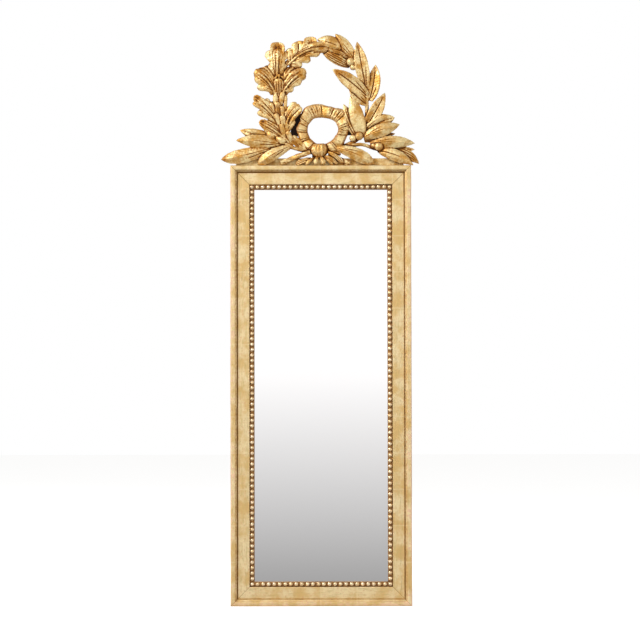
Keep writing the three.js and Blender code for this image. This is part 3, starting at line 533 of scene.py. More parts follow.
def woodMaterial(name, look):
    # Sawn and planed pine left bare behind the gilding: dry and brown with age. Its growth lines run
    # along the board and bend round a few knots; the pale spring wood is dull and slightly sunk.
    material, tree = newMaterial(name)
    noise, cells, stretched, between, calc, blend = shadingTools(tree)
    place = placeIn(tree)
    stretch = stretched(place, look["grain"])
    sway = noise(stretch, look["swaySize"], 3.0)
    knots = cells(stretch, look["knotGap"])["Distance"]
    cross = addNode(tree, "ShaderNodeSeparateXYZ", {0: place}).outputs[look["crossing"]]
    bent = calc("MULTIPLY_ADD", sway, look["sway"], between(knots, 0.03, 0.16, 1, 0))
    wave = calc("SINE", calc("MULTIPLY_ADD", cross, 2 * math.pi / (look["lineGap"] * mm), bent))
    cloud = noise(stretch, look["cloudSize"], 4.0, 0.6)
    strength = between(cloud, 0.3, 0.7, 0.35, 0.7, "LINEAR")
    late = between(wave, 0.1, 1.0, 0, strength, "LINEAR")
    fibres = noise(stretch, look["fibreSize"], 3.0)
    board = blend(calc("MULTIPLY_ADD", fibres, 0.5, late), toLinear(look["pale"]), toLinear(look["dark"]))
    knotty = blend(between(knots, 0.025, 0.05, 0.9, 0), board, toLinear(look["knot"]))
    aged = blend(between(cloud, 0.35, 0.75, 0.2, 0.8, "LINEAR"), knotty, toLinear(look["stain"]), "MULTIPLY")
    bump = addNode(tree, "ShaderNodeBump", {
        "Height": calc("MULTIPLY_ADD", fibres, 0.6, late), "Strength": 0.5, "Distance": look["relief"] * mm})
    finishMaterial(tree, addNode(tree, "ShaderNodeBsdfPrincipled", {
        "Base Color": aged, "Roughness": between(fibres, 0, 1, 0.62, 0.86, "LINEAR"),
        "Normal": bump.outputs[0]}))
    return material


pineLook = {       # boards whose grain runs along X
    "grain": (0.12, 1, 1), "crossing": 2, "knotGap": 170, "lineGap": 9, "sway": 38.0, "swaySize": 42,
    "cloudSize": 60, "fibreSize": 1.1, "relief": 0.3,
    "dark": "95683c", "pale": "c59a66", "knot": "4a2a14", "stain": "a8835f",
}
uprightLook = dict(pineLook, grain=(1, 1, 0.12), crossing=0)
boardWood = woodMaterial("old pine board", pineLook)
levelPine = woodMaterial("old pine, planed level", dict(pineLook, lineGap=5, dark="7a5230", pale="a77c4b"))
uprightPine = woodMaterial("old pine, planed upright", dict(
    uprightLook, lineGap=5, dark="7a5230", pale="a77c4b"))
uprightWood = woodMaterial("old beech key", dict(
    uprightLook, lineGap=3, dark="5c3a1c", pale="835a30", knotGap=900))
# near black: old bare wood, which on the bridges beside the ribbon ring also paints the shade of the gaps
# there
blackWoodAndShade = woodMaterial("bare wood black with age", dict(
    uprightLook, lineGap=4, dark="24150b", pale="4c3220", knotGap=900, stain="8a7460"))
# the back of the carving: limewood left from the gouge, browned by size that ran over from the front
carvedBack = woodMaterial("limewood back of the carving", dict(
    uprightLook, grain=(1, 1, 0.3), lineGap=6, dark="6b4624", pale="94693c", knotGap=900, stain="9a7a58"))


def glassMaterial(name, look):
    # Silvered plate glass: tin and mercury behind clear glass, a cool bright mirror, a trace uneven.
    material, tree = newMaterial(name)
    noise, _, _, between, _, blend = shadingTools(tree)
    drift = noise(placeIn(tree), look["driftSize"])
    finishMaterial(tree, addNode(tree, "ShaderNodeBsdfPrincipled", {
        "Base Color": blend(drift, toLinear(look["pale"]), toLinear(look["warm"])), "Metallic": 1.0,
        "Roughness": between(drift, 0, 1, *look["haze"], "LINEAR")}))
    return material


def metalMaterial(name, pale, dark, roughness):
    # Rolled and bent steel gone dull: a cloudy grey skin with darker rust bloom.
    material, tree = newMaterial(name)
    noise, _, _, between, _, blend = shadingTools(tree)
    place = placeIn(tree)
    bloom = noise(place, 6, 5.0)
    bump = addNode(tree, "ShaderNodeBump", {
        "Height": noise(place, 0.8), "Strength": 0.3, "Distance": 0.1 * mm})
    finishMaterial(tree, addNode(tree, "ShaderNodeBsdfPrincipled", {
        "Base Color": blend(between(bloom, 0.4, 0.65, kind="LINEAR"), toLinear(pale), toLinear(dark)),
        "Metallic": 0.95, "Roughness": between(bloom, 0, 1, roughness - 0.1, roughness + 0.2, "LINEAR"),
        "Normal": bump.outputs[0]}))
    return material


silvered = glassMaterial("silvered plate glass", {
    "driftSize": 130, "pale": "fbfafa", "warm": "fcfafa", "haze": (0.008, 0.03)})
hangerSteel = metalMaterial("dull steel hanger", "a09c94", "6b5a4c", 0.42)
bradIron = metalMaterial("cut iron brad", "5a4a3e", "33241b", 0.55)
print("finishes made")


# ------ frame: gilt rails and edge mouldings, swept round with mitred corners

moulding = {
    "railWidth": 50, "frieze": 26, "grooveEnd": 15.5, "seat": 23, "channel": 39.8, "channelFloor": 18,
    "lipBack": 15, "glassRebate": 42, "boardRebate": 34, "boardSeat": 6,
    "edgeWidth": 13, "edgeDepth": 34, "edgeBand": 10, "edgeStep": 5, "edgeFall": 0.8, "glue": 0.2,
    "mitreGap": 0.06, "spacing": 0.55, "backSpacing": 6, "along": 7, "arcShare": 0.45, "leastArc": 0.05,
    "mitreStations": (0.9, 2.4), "mitreTones": (0.95, 0.25),      # beside the mitres, for their dark line
    "unevenness": 0.16, "unevenSize": 70, "seed": 11,
    "arris": 0.3, "ochreDepth": 0.62,      # the sides are ochre up to this share of the edge's depth
    # where toning gathers and dusting rubs: (inset, depth, reach, strength, the most it comes to)
    "friezeRub": [(16.6, 26, 2.0, 0.7, 0.5), (38.7, 26, 2.0, 0.8, 0.6)],
    "channelTone": [(39.8, 19.5, 7, 1.7, 1), (45, 18, 8, 1.7, 1)],
}

outerLow = Vector(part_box("edge_moulding_left")[0])
outerHigh = Vector(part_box("edge_moulding_right")[1])
outerWidth = outerHigh.x - outerLow.x
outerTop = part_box("edge_moulding_top")[1][2]
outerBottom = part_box("edge_moulding_bottom")[0][2]
outerHeight = outerTop - outerBottom
middleHeight = (outerTop + outerBottom) / 2
# each side: its length, its turn about Y, the middle of its outer edge
sides = {
    "top": (outerWidth, 0, (0, outerTop)),
    "bottom": (outerWidth, math.pi, (0, outerBottom)),
    "left": (outerHeight, -math.pi / 2, (outerLow.x, middleHeight)),
    "right": (outerHeight, math.pi / 2, (outerHigh.x, middleHeight)),
}
uprights = ("left", "right")


def sideMatrix(name):
    _, turn, (x, z) = sides[name]
    return Matrix.Translation((x, 0, z)) @ Matrix.Rotation(turn, 4, "Y")


def roundedSection(corners, frontFrom, look):
    # corners are (inset, depth, radius); arcs replace the corners and the front is cut finely
    count = len(corners)
    outline = []
    for k in range(count):
        before = Vector(corners[k - 1][:2])
        here = Vector(corners[k][:2])
        after = Vector(corners[(k + 1) % count][:2])
        into, out = (before - here), (after - here)
        reach = min(corners[k][2], into.length * look["arcShare"], out.length * look["arcShare"])
        if reach < look["leastArc"]:
            outline.append(here)
            continue
        start, end = here + into.normalized() * reach, here + out.normalized() * reach
        steps = max(2, int(reach * 1.6 / look["spacing"]) + 1)
        for s in range(steps + 1):
            share = s / steps
            outline.append(start * (1 - share) ** 2 + here * 2 * share * (1 - share) + end * share ** 2)
    fine = []
    for k, here in enumerate(outline):
        after = outline[(k + 1) % len(outline)]
        spacing = look["spacing"] if min(here.y, after.y) >= frontFrom else look["backSpacing"]
        parts = max(1, int((after - here).length / spacing))
        fine += [here.lerp(after, s / parts) for s in range(parts)]
    return fine


def lineTone(here, stops):
    # how dark or how rubbed one line of the section is, the same all the way along
    return max((min(most, strength * (1 - math.hypot(here.x - inset, here.y - depth) / reach))
                for inset, depth, reach, strength, most in stops), default=0)


def sweptSide(name, side, corners, frontFrom, recess, rub, look=moulding):
    length = sides[side][0]
    section = roundedSection(corners, frontFrom, look)
    inner = int(length / (look["along"] * mm))
    ends = [inset * mm / length for inset in look["mitreStations"]]
    shares = [0, *ends, *(k / inner for k in range(1, inner)), *(1 - e for e in reversed(ends)), 1]
    points = []
    for share in shares:
        for corner in section:
            half = length / 2 - corner.x * mm - look["mitreGap"] * mm
            points.append(((2 * share - 1) * half, -corner.y * mm, -corner.x * mm))
    count, last = len(section), (len(shares) - 1) * len(section)
    faces = bands(0, len(shares), count)
    faces += [tuple(range(count - 1, -1, -1)), tuple(range(last, last + count))]
    thing = newMesh(name, points, faces)
    thing.data.transform(sideMatrix(side))
    handWorked(thing.data, look, look["seed"])
    keepInside(thing.data)
    tones = np.tile(np.clip([lineTone(c, recess) for c in section], 0, 1), (len(shares), 1))
    for k, tone in enumerate(look["mitreTones"]):
        tones[[k, -1 - k]] = np.maximum(tones[[k, -1 - k]], tone)
    writeShares(thing.data, "recess", tones)
    writeShares(thing.data, "rub", np.tile([lineTone(c, rub) for c in section], (len(shares), 1)))
    return turnOutward(thing)


def railSection(cut):
    return [
        (0, 0, 0), (cut["boardRebate"], 0, 0), (cut["boardRebate"], cut["boardSeat"], 0),
        (cut["glassRebate"], cut["boardSeat"], 0), (cut["glassRebate"], cut["lipBack"], 0),
        (cut["railWidth"], cut["lipBack"], 0), (cut["railWidth"], cut["channelFloor"], 0.4),
        (cut["channel"], cut["channelFloor"], 0), (cut["channel"], cut["frieze"], 1.4),
        (cut["grooveEnd"], cut["frieze"], 1.1), (cut["grooveEnd"], cut["seat"], 0.5), (0, cut["seat"], 0),
    ]


def edgeSection(cut):
    foot, step = cut["seat"] + cut["glue"], cut["edgeDepth"] - cut["edgeStep"]
    return [
        (0, foot, 0), (0, cut["edgeDepth"], 3.4), (cut["edgeBand"], cut["edgeDepth"], 3.2),
        (cut["edgeBand"], step, 0.6), (cut["edgeWidth"], step - cut["edgeFall"], 1.0),
        (cut["edgeWidth"], foot, 0),
    ]


def finishSides(thing, pine, look):
    # ochre outside, gilt in front, and bare wood on the back and in the rebate
    thing.data.materials.append(sideOchre)
    thing.data.materials.append(pine)
    arris = look["arris"] * mm
    for face in thing.data.polygons:
        middle = face.center
        outer = abs(middle.x) > outerHigh.x - arris or not outerBottom + arris < middle.z < outerTop - arris
        if outer and -middle.y < look["edgeDepth"] * mm * look["ochreDepth"]:
            face.material_index = 1
        elif -middle.y < look["lipBack"] * mm and not outer:
            face.material_index = 2


# painted shade by side: the step and the groove beside the moulding are dark under the top and beside the
# left, and light along the foot, as the light falls from above and from the left; the last value is how much
# more, or less, each side was rubbed
sideShading = {
    "top": (0.55, 0.84, -0.4), "left": (0.45, 0.68, 0.12),
    "right": (0.42, 0.56, 0.12), "bottom": (0.05, 0.12, 0.3),
}
for side in sides:
    step, groove, rubbed = sideShading[side]
    gilt, pine = (uprightGilt, uprightPine) if side in uprights else (levelGilt, levelPine)
    # this side's painted shade goes into the step and the groove
    rail = sweptSide(
        f"gilt_rail_{side}", side, railSection(moulding), moulding["channelFloor"],
        recess=[(14.2, 23.4, 3.6, 3, groove), *moulding["channelTone"]],
        rub=[*moulding["friezeRub"], (28, 26, 11, 0.4, 0.25 + rubbed * 0.3)])
    dress(rail, gilt, "gilt_frame", f"rail_{side}")
    edge = sweptSide(
        f"gilt_edge_{side}", side, edgeSection(moulding), moulding["seat"],
        recess=[(11.7, 28.6, 2.6, 2.4, step), (13, 25, 3.6, 2, groove), (0, 24, 4, 1, 0.5)],
        rub=[(0.6, 33.2, 4.2, 1.3, 0.82 + rubbed), (9.4, 33.8, 2.6, 1, 0.6 + rubbed),
             (5, 34, 7, 1, 0.55 + rubbed)])
    dress(edge, gilt, "gilt_frame", f"edge_moulding_{side}")
    for thing in (rail, edge):
        finishSides(thing, pine, moulding)
print("frame swept")


# ------ pearls: a row of turned half-beads on a narrow strip, one row for each side

pearls = {
    "pitch": {"left": 11.4, "right": 11.7, "top": 11.4, "bottom": 11.6},
    "radius": 4.5, "inset": 45, "stripWidth": 10, "stripBack": 18.2, "stripFront": 20.5, "glue": 0.2,
    # one bead in radii, from its crown, which is a little flat, to the narrow neck at its foot: (radius, y)
    "profile": [(0.0, -1.0), (0.38, -0.95), (0.72, -0.75), (0.94, -0.42), (1.0, -0.1), (0.93, 0.25)],
    "around": 12, "lean": 0.06, "shift": (0.22 * mm, 0, 0.15 * mm),
    "least": (0.965, 0.94, 0.965), "most": (1.02, 1.03, 1.02), "seed": 20,
    # painted shade and toning: each bead darkens towards its foot, and more on its lower right side,
    # away from the light from above and from the left
    "awayFromLight": (0.5, 0, -0.86), "lowerRightShade": 0.8, "footToneAndShade": 1.5, "toneAndShadeFall": 2.1,
    "rubFrom": 0.75, "rub": 2.2,
}


def pearlTree(look):
    tree, given = newGroup("pearl row", {
        "Bead": "Object", "Count": "Int", "First": "Vector", "Pitch": "Float", "Seed": "Int",
        "Finish": "Material"})
    step = addNode(tree, "ShaderNodeCombineXYZ", {"X": given["Pitch"]})
    row = addNode(tree, "GeometryNodeMeshLine", {
        "Count": given["Count"], "Start Location": given["First"], "Offset": step.outputs[0]})
    bead = addNode(tree, "GeometryNodeObjectInfo", {"Object": given["Bead"], "As Instance": True})
    lean, shift = look["lean"], Vector(look["shift"])
    turn = randomBetween(tree, (-lean, 0.0, -lean), (lean, 6.28, lean), given["Seed"])
    size = randomBetween(tree, look["least"], look["most"], given["Seed"])
    stray = randomBetween(tree, -shift, shift, given["Seed"])
    moved = addNode(tree, "GeometryNodeSetPosition", {"Geometry": row.outputs[0], "Offset": stray})
    placed = addNode(tree, "GeometryNodeInstanceOnPoints", {
        "Points": moved.outputs[0], "Instance": bead.outputs["Geometry"], "Rotation": turn, "Scale": size})
    both = addNode(tree, "GeometryNodeJoinGeometry")
    tree.links.new(placed.outputs[0], both.inputs[0])
    tree.links.new(given["Geometry"], both.inputs[0])
    finishGroup(tree, both.outputs[0], given["Finish"])
    return tree


def pearlRow(side, bead, tree, seed, look):
    length = sides[side][0] / mm
    span = length - 2 * look["inset"]
    steps = round(span / look["pitch"][side])
    pitch = span / steps
    corners = side not in uprights      # the level rows hold the corner beads
    first = 0 if corners else 1
    near, far = look["inset"] - look["stripWidth"] / 2, look["inset"] + look["stripWidth"] / 2
    half = length / 2 - look["glue"] - (near if corners else far)
    strip = newBlock(f"pearl_row_{side}", (-half, -look["stripFront"], -far),
                     (half, -look["stripBack"], -near))
    runTree(strip, tree, {
        "Bead": bead, "Count": steps + 1 - 2 * first, "Pitch": pitch * mm, "Seed": seed,
        "First": ((-span / 2 + first * pitch) * mm, -look["stripFront"] * mm, -look["inset"] * mm),
        "Finish": pearlGilt})
    strip.data.transform(sideMatrix(side))
    # toning at each bead's foot, with painted shade low down and on the side away from the light
    height = (-placesOf(strip.data)[:, 1] / mm - look["stripFront"]) / look["radius"]
    awayFromLight = normalsOf(strip.data) @ np.array(look["awayFromLight"])
    writeShares(strip.data, "recess",
                look["footToneAndShade"] - height * look["toneAndShadeFall"] + look["lowerRightShade"] * awayFromLight)
    writeShares(strip.data, "rub", (height - look["rubFrom"]) * look["rub"])
    dress(strip, pearlGilt, "gilt_frame", f"pearl_strip_{side}")


bead = turned("bead", pearls["profile"], pearls["around"], size=pearls["radius"] * mm, foot=0.25)
rowTree = pearlTree(pearls)
for number, side in enumerate(sides):
    pearlRow(side, bead, rowTree, pearls["seed"] + number, pearls)
bpy.data.objects.remove(bead)
print("pearls set")


# ------ carving: each leaf, lobe, fruit and fold is a closed form; a node's forms are fused and smoothed

crestFoot = outerTop / mm      # heights in the tables below are above the top of the frame
carving = {
    "grain": 0.75, "softening": 2, "unevenness": 0.14, "unevenSize": 6, "seed": 5, "ringSeed": 8,
    # the gouge lines darken with toning and painted shade
    "cutWidth": 1.15, "cutReach": 3, "cutPoints": 60, "gougeToningAndShade": 0.55,      # the gouge lines
    "scoopAt": 0.72, "scoopReach": 0.2, "backFrom": 0.4,
}
carved = []


def through(stops, shares):
    # a smooth curve through (share, value) stops
    xs, ys = np.array(stops, dtype=float).T
    slopes = np.gradient(ys, xs)
    k = np.clip(np.searchsorted(xs, shares, "right") - 1, 0, len(xs) - 2)
    gap = xs[k + 1] - xs[k]
    t = (shares - xs[k]) / gap
    return ((2 * t ** 3 - 3 * t ** 2 + 1) * ys[k] + (t ** 3 - 2 * t ** 2 + t) * gap * slopes[k]
            + (3 * t ** 2 - 2 * t ** 3) * ys[k + 1] + (t ** 3 - t ** 2) * gap * slopes[k + 1])


def evenly(values, shares):
    # the same curve, its stops an equal way apart
    return through(list(zip(np.linspace(0, 1, len(values)), values)), shares)


def newStore():
    return {"points": [], "faces": [], "count": 0, "cuts": []}


def shell(store, rows, capped=True):
    # closed loops of equal length, one after another, joined to a body
    rows = np.asarray(rows)
    steps, count = rows.shape[:2]
    first = store["count"]
    store["points"].append(rows.reshape(-1, 3))
    store["count"] += steps * count
    for k in range(steps - 1 if capped else steps):
        a, b = first + k * count, first + ((k + 1) % steps) * count
        store["faces"] += [(a + i, a + (i + 1) % count, b + (i + 1) % count, b + i) for i in range(count)]
    if capped:
        for k in (0, steps - 1):
            store["points"].append(rows[k].mean(0)[None])
            hub, a = store["count"], first + k * count
            store["count"] += 1
            store["faces"] += [(a + i, a + (i + 1) % count, hub)[::1 if k else -1] for i in range(count)]


def place(x, height, depth):
    return np.array([x, -depth, height], dtype=float)


def asideOf(ahead):
    # square to the way ahead and level with the wall
    aside = np.stack([-ahead[:, 2], np.zeros(len(ahead)), ahead[:, 0]], 1)
    return aside / np.linalg.norm(aside, axis=1)[:, None]


def frontOf(kind, v):
    # how the front of a leaf swells across its width, 1 at the most
    far = np.abs(v)
    if kind == "roof":
        return 1 - far
    if kind == "lobe":
        return np.maximum(1 - far ** 2.4, 0) ** 0.8
    if kind == "cup":
        return 0.2 + 0.8 * far ** 1.8
    if kind == "swell":
        return (0.45 + 0.55 * np.sin(math.pi * np.minimum(far * 0.98 + 0.02, 1)) ** 0.8) * (1 - far ** 6)
    return np.sqrt(np.maximum(1 - v ** 2, 0)) ** 1.1


def leafHeight(look, outline, u, v):
    # how far the front of a leaf stands up from its midrib's level
    fullness = np.minimum(1, outline * 1.2)[:, None]
    height = look["relief"] * fullness * frontOf(look["kind"], v)
    for ridges, amount in look.get("ridges", ()):
        height = height + amount * fullness * np.cos(math.pi * ridges * v + 0.7 * u[:, None])
    if "scoop" in look:      # a hollow behind the tip, which leaves the rim bright and holds toning
        sunk = np.exp(-((u - carving["scoopAt"]) / carving["scoopReach"]) ** 2)[:, None]
        height = height - look["scoop"] * sunk * (1 - v ** 2)
    return height * (1 - np.abs(v) ** 14)


def traceCuts(store, front, cuts):
    # a line cut from share begin to until of the leaf, from near to far across it, fading at its far end
    rows, columns = front.shape[0] - 1, front.shape[1] - 1
    for near, far, begin, until, depth in cuts:
        for t in np.linspace(0, 1, carving["cutPoints"]):
            row = (begin + (until - begin) * t) * rows
            column = (near + (far - near) * t + 1) / 2 * columns
            a, b = int(min(row, rows - 1)), int(min(column, columns - 1))
            p, q = row - a, column - b
            here = ((front[a, b] * (1 - q) + front[a, b + 1] * q) * (1 - p)
                    + (front[a + 1, b] * (1 - q) + front[a + 1, b + 1] * q) * p)
            store["cuts"].append((*here, depth * min(1.0, 2.5 * (1 - t) + 0.25, 6 * t + 0.4)))


def leafForm(store, base, tip, width, look, bow=0.0, rise=0.0, tilt=0.0):
    # base and tip are (X, height, depth); bow bends the midrib to the left of its way, rise lifts
    # its middle and tilt raises its left edge
    start, end = place(*base), place(*tip)
    way = end - start
    left = np.array([-way[2], 0, way[0]])
    left /= np.linalg.norm(left)
    bend = (start + end) / 2 + left * 2 * bow + np.array([0, -2 * rise, 0])
    u = np.linspace(0, 1, look.get("rows", 44))
    u1 = u[:, None]
    mid = (1 - u1) ** 2 * start + 2 * u1 * (1 - u1) * bend + u1 ** 2 * end
    aside = asideOf((1 - u1) * (bend - start) + u1 * (end - bend))
    forward = np.array([0.0, -1.0, 0.0])
    angle = math.radians(tilt)
    side = aside * math.cos(angle) + forward * math.sin(angle)
    up = forward * math.cos(angle) - aside * math.sin(angle)
    outline = np.maximum(through(look["outline"], u), 0.02)
    half = width / 2 * outline
    v = np.linspace(-1, 1, look.get("columns", 29))
    across = half[:, None] * v
    height = leafHeight(look, outline, u, v)
    front = mid[:, None] + side[:, None] * across[..., None] + up[:, None] * height[..., None]
    traceCuts(store, front, look.get("cuts", ()))
    inner = v[-2:0:-1]
    thick = look.get("thick", 4.5) * (0.55 + 0.45 * outline)[:, None] * (1 - 0.7 * np.abs(inner) ** 3)
    across = half[:, None] * inner * 0.86
    back = mid[:, None] + side[:, None] * across[..., None] - up[:, None] * thick[..., None]
    shell(store, np.concatenate([front, back], 1))


def leafForms(store, leaves):
    for base, tip, width, look, bend in leaves:
        leafForm(store, base, tip, width, look, **bend)


def rod(store, path, radii, around=18, knots=0.0):
    # a stem through (X, height, depth) places
    path = np.array([place(*p) for p in path])
    u = np.linspace(0, 1, 14 * (len(path) - 1) + 1)
    mid = np.stack([evenly(path[:, k], u) for k in range(3)], 1)
    ahead = np.gradient(mid, axis=0)
    aside = asideOf(ahead)
    radius = evenly(radii, u)
    a = np.arange(around) * 2 * math.pi / around
    rows = []
    for k in range(len(u)):
        up = np.cross(ahead[k], aside[k])
        up /= np.linalg.norm(up)
        swell = radius[k] * (1 + knots * np.sin(3 * a + 9 * u[k]) + knots * np.sin(5 * a - 21 * u[k]))
        rows.append(mid[k] + np.outer(np.cos(a) * swell, aside[k]) + np.outer(np.sin(a) * swell, up))
    shell(store, rows)


def ball(store, centre, radii, tip=0.0, turn=0.0, crease=0.0, around=24):
    # a fruit: round, or drawn out to a tip along its own axis, which turn lays over in the picture
    a = np.arange(around) * 2 * math.pi / around
    c, s = math.cos(math.radians(turn)), math.sin(math.radians(turn))
    rows = []
    for t in np.linspace(0.04, 0.96, 17) * math.pi:
        r = math.sin(t)
        along = -math.cos(t) * (1 + tip * max(0, -math.cos(t)) ** 3)
        x, y, z = radii[0] * r * np.cos(a), radii[1] * r * np.sin(a), np.full(around, radii[2] * along)
        x = x * (1 - crease * np.exp(-((along - 0.1) / 0.12) ** 2))
        rows.append(np.stack([x * c + z * s, y, -x * s + z * c], 1) + place(*centre))
    shell(store, rows)


def engrave(mesh, cuts, look):
    # the gouge lines: the surface sinks beside each point of a line; how far it sank later darkens it
    # with toning and painted shade
    lines = KDTree(len(cuts))
    for k, (x, y, z, _) in enumerate(cuts):
        lines.insert((x * mm, y * mm, (z + crestFoot) * mm), k)
    lines.balance()
    places, outward = placesOf(mesh), normalsOf(mesh)
    sunk = np.zeros(len(places))
    for v, here in enumerate(places):
        _, k, gap = lines.find(here)
        if gap < look["cutReach"] * mm:
            sunk[v] = cuts[k][3] * math.exp(-(gap / (look["cutWidth"] * mm)) ** 2)
    writePlaces(mesh, places - outward * (sunk * mm)[:, None])
    return sunk


def bodyOf(name, store):
    # sizes were millimetres above the frame until here
    points = np.concatenate(store["points"])
    points[:, 2] += crestFoot
    return turnOutward(newMesh(name, points * mm, store["faces"]))


def giltCarving(thing, *replaced, sunk=0.0, wear=None):
    markWear(thing.data, **(wear or {}))
    # the gouge lines darken: toning, and painted shade in the cuts
    darken(thing.data, sunk * carving["gougeToningAndShade"])
    dress(thing, carvingGilt, "gilt_carving", *replaced)
    carved.append(thing)


def fuse(name, store, *replaced, grain=carving["grain"], wear=None):
    # the forms become one carved body, eased like cut wood and then engraved
    thing = bodyOf(name, store)
    remesh = thing.modifiers.new("fuse", "REMESH")
    remesh.mode = "VOXEL"
    remesh.voxel_size = grain * mm
    mesh = settle(thing).data
    writePlaces(mesh, smoothed(placesOf(mesh), edgesOf(mesh), carving["softening"]))
    handWorked(mesh, carving, carving["seed"])
    sunk = engrave(mesh, store["cuts"], carving) if store["cuts"] else 0.0
    keepInside(mesh)
    mesh.shade_smooth()
    giltCarving(thing, *replaced, sunk=sunk, wear=wear)
    print(name, len(mesh.polygons) * 2, "triangles")


# outlines are (share of the length, share of the half width)
laurelOutline = [(0, 0.42), (0.12, 0.68), (0.3, 0.93), (0.5, 1), (0.7, 0.87), (0.86, 0.54), (0.95, 0.26),
                 (1, 0.03)]
broadOutline = [(0, 0.5), (0.12, 0.76), (0.3, 0.97), (0.48, 1), (0.68, 0.86), (0.85, 0.5), (0.95, 0.22),
                (1, 0.03)]
lateOutline = [(0, 0.45), (0.2, 0.72), (0.42, 0.95), (0.62, 1), (0.8, 0.84), (0.92, 0.5), (1, 0.04)]
# cuts are lines of the gouge: across from, across to, along from, along to, depth
midrib = (0, 0, 0.02, 0.68, 1.7)
swelling = {"outline": laurelOutline, "kind": "swell", "relief": 4,
            "cuts": (midrib, (-0.3, -0.42, 0.05, 0.4, 0.9), (0.32, 0.45, 0.1, 0.5, 0.8))}
roofed = {"outline": laurelOutline, "kind": "roof", "relief": 6.2,
          "cuts": (midrib, (0.3, 0.5, 0.2, 0.52, 0.8))}
lateRoofed = dict(roofed, outline=lateOutline)
cupped = {"outline": broadOutline, "kind": "cup", "relief": 4.2,
          "cuts": ((0, 0, 0.02, 0.82, 1.6), (-0.25, -0.5, 0.05, 0.42, 0.8))}
smoothLeaf = {"outline": broadOutline, "kind": "lobe", "relief": 4.6, "cuts": ((0, 0.05, 0.02, 0.6, 1.2),)}
streaked = {"outline": broadOutline, "kind": "lobe", "relief": 3.6, "cuts": tuple(
    (v, v * 1.05, 0.03, 0.95 - 0.35 * abs(v), 1.3) for v in (-0.62, -0.2, 0.2, 0.62))}

# base, tip, width, look, and how it bends; heights above the frame, depths from the wall
laurelLeaves = [
    ((44, 248, 20), (-7, 266.5, 20), 28, dict(smoothLeaf, cuts=((0.2, 0.35, 0.2, 0.8, 0.9),)),
     {"bow": -5, "rise": 4, "tilt": 12}),
    ((72, 224, 21), (31, 279, 20), 25, roofed, {"bow": -1.5, "rise": 3, "tilt": -10}),
    ((60, 229, 18), (4, 250.5, 18), 18, roofed, {"bow": -1, "rise": 3, "tilt": 4}),
    ((62, 211, 19), (0, 245, 18), 21, streaked, {"bow": 2, "rise": 3, "tilt": -12}),
    ((95, 166, 21), (77, 262, 23), 30, cupped, {"bow": 0, "rise": 4, "tilt": 6}),
    ((103, 138, 18), (116, 214, 18), 30, cupped, {"bow": -2.5, "rise": 3, "tilt": -8}),
    ((97, 148, 20), (25, 203.5, 26), 31, cupped, {"bow": -2, "rise": 4, "tilt": -4}),
    ((97, 130, 19), (60, 163.5, 22), 21, cupped, {"bow": 2, "rise": 3, "tilt": 8}),
    ((87, 62, 21), (63, 148, 23), 32, dict(smoothLeaf, cuts=()), {"bow": -1, "rise": 5, "tilt": 4}),
    ((80, 60, 18), (48.5, 131, 19), 27, streaked, {"bow": 1, "rise": 3, "tilt": 6}),
    ((95, 80, 18), (136, 154.5, 20), 29, cupped, {"bow": -2, "rise": 4, "tilt": 8}),
    ((92, 70, 16), (156.5, 102, 17), 34, swelling, {"bow": 4.5, "rise": 3, "tilt": 6}),
    ((90, 60, 20), (166.5, 87, 22), 29, roofed, {"bow": 1, "rise": 6, "tilt": -4}),
]
leftSprayLeaves = [
    ((-88, 52, 16), (-170, 76, 16), 28, swelling, {"bow": 1, "rise": 2, "tilt": -6}),
    ((-78, 44, 20), (-178, 54, 22), 30, roofed, {"bow": -2, "rise": 5, "tilt": 4}),
    ((-96, 40, 21), (-210, 13.5, 23), 32, lateRoofed, {"bow": 3.5, "rise": 4, "tilt": 3}),
    ((-64, 41, 22), (-133, 2, 26), 26, lateRoofed, {"bow": -2, "rise": 6, "tilt": 2}),
]
rightSprayLeaves = [
    ((92, 53, 17), (158, 68, 18), 17, streaked, {"bow": 1, "rise": 2}),
    ((104, 46, 21), (198, 47, 24), 27, roofed, {"bow": 3, "rise": 6, "tilt": -2}),
    ((120, 33, 20), (198, 34.5, 21), 20, cupped, {"bow": -1, "rise": 3}),
    ((124, 31, 22), (195, 0.5, 25), 26, smoothLeaf, {"bow": 4, "rise": 6}),
    ((156, 34, 19), (207, 4, 22), 22, streaked, {"bow": 4, "rise": 3}),
    ((33, 37, 23), (113, 2.5, 27), 29, lateRoofed, {"bow": 4, "rise": 7}),
]

store = newStore()
rod(store, [(26, 36, 17), (60, 46, 17), (84, 64, 17), (96, 100, 17), (97, 150, 17), (90, 186, 17),
            (66, 219, 17), (26, 242, 17), (12, 246, 17)],
    [4.4, 4.6, 4.4, 4.0, 3.4, 3.0, 2.6, 2.2], knots=0.06)
leafForms(store, laurelLeaves)
ball(store, (63.5, 219, 25), (8.8, 7.5, 8.8))
ball(store, (68.5, 207.5, 24), (7, 6, 6.4))
ball(store, (81, 62, 24), (8.6, 8, 8.6))
ball(store, (68, 58, 22), (7.6, 7, 7.2))
fuse("laurel_wreath", store, "laurel_branch", grain=0.82)

store = newStore()
rod(store, [(-16, 27, 20), (-44, 34, 20), (-71, 41, 20), (-100, 44, 20)], [3.6, 3.8, 3.4, 2.6], knots=0.06)
leafForms(store, leftSprayLeaves)
fuse("laurel_low_left", store, "laurel_spray_left")

store = newStore()
rod(store, [(18, 27, 20), (48, 38, 20), (84, 45, 20), (113, 36, 20), (138, 27, 20)],
    [3.6, 4.0, 3.8, 3.4, 2.6], knots=0.06)
leafForms(store, rightSprayLeaves)
ball(store, (122, 40, 28), (9.6, 8, 9.0))
ball(store, (112, 42, 25), (7, 6, 5.5))
fuse("laurel_low_right", store, "laurel_spray_right")
print("laurel carved")


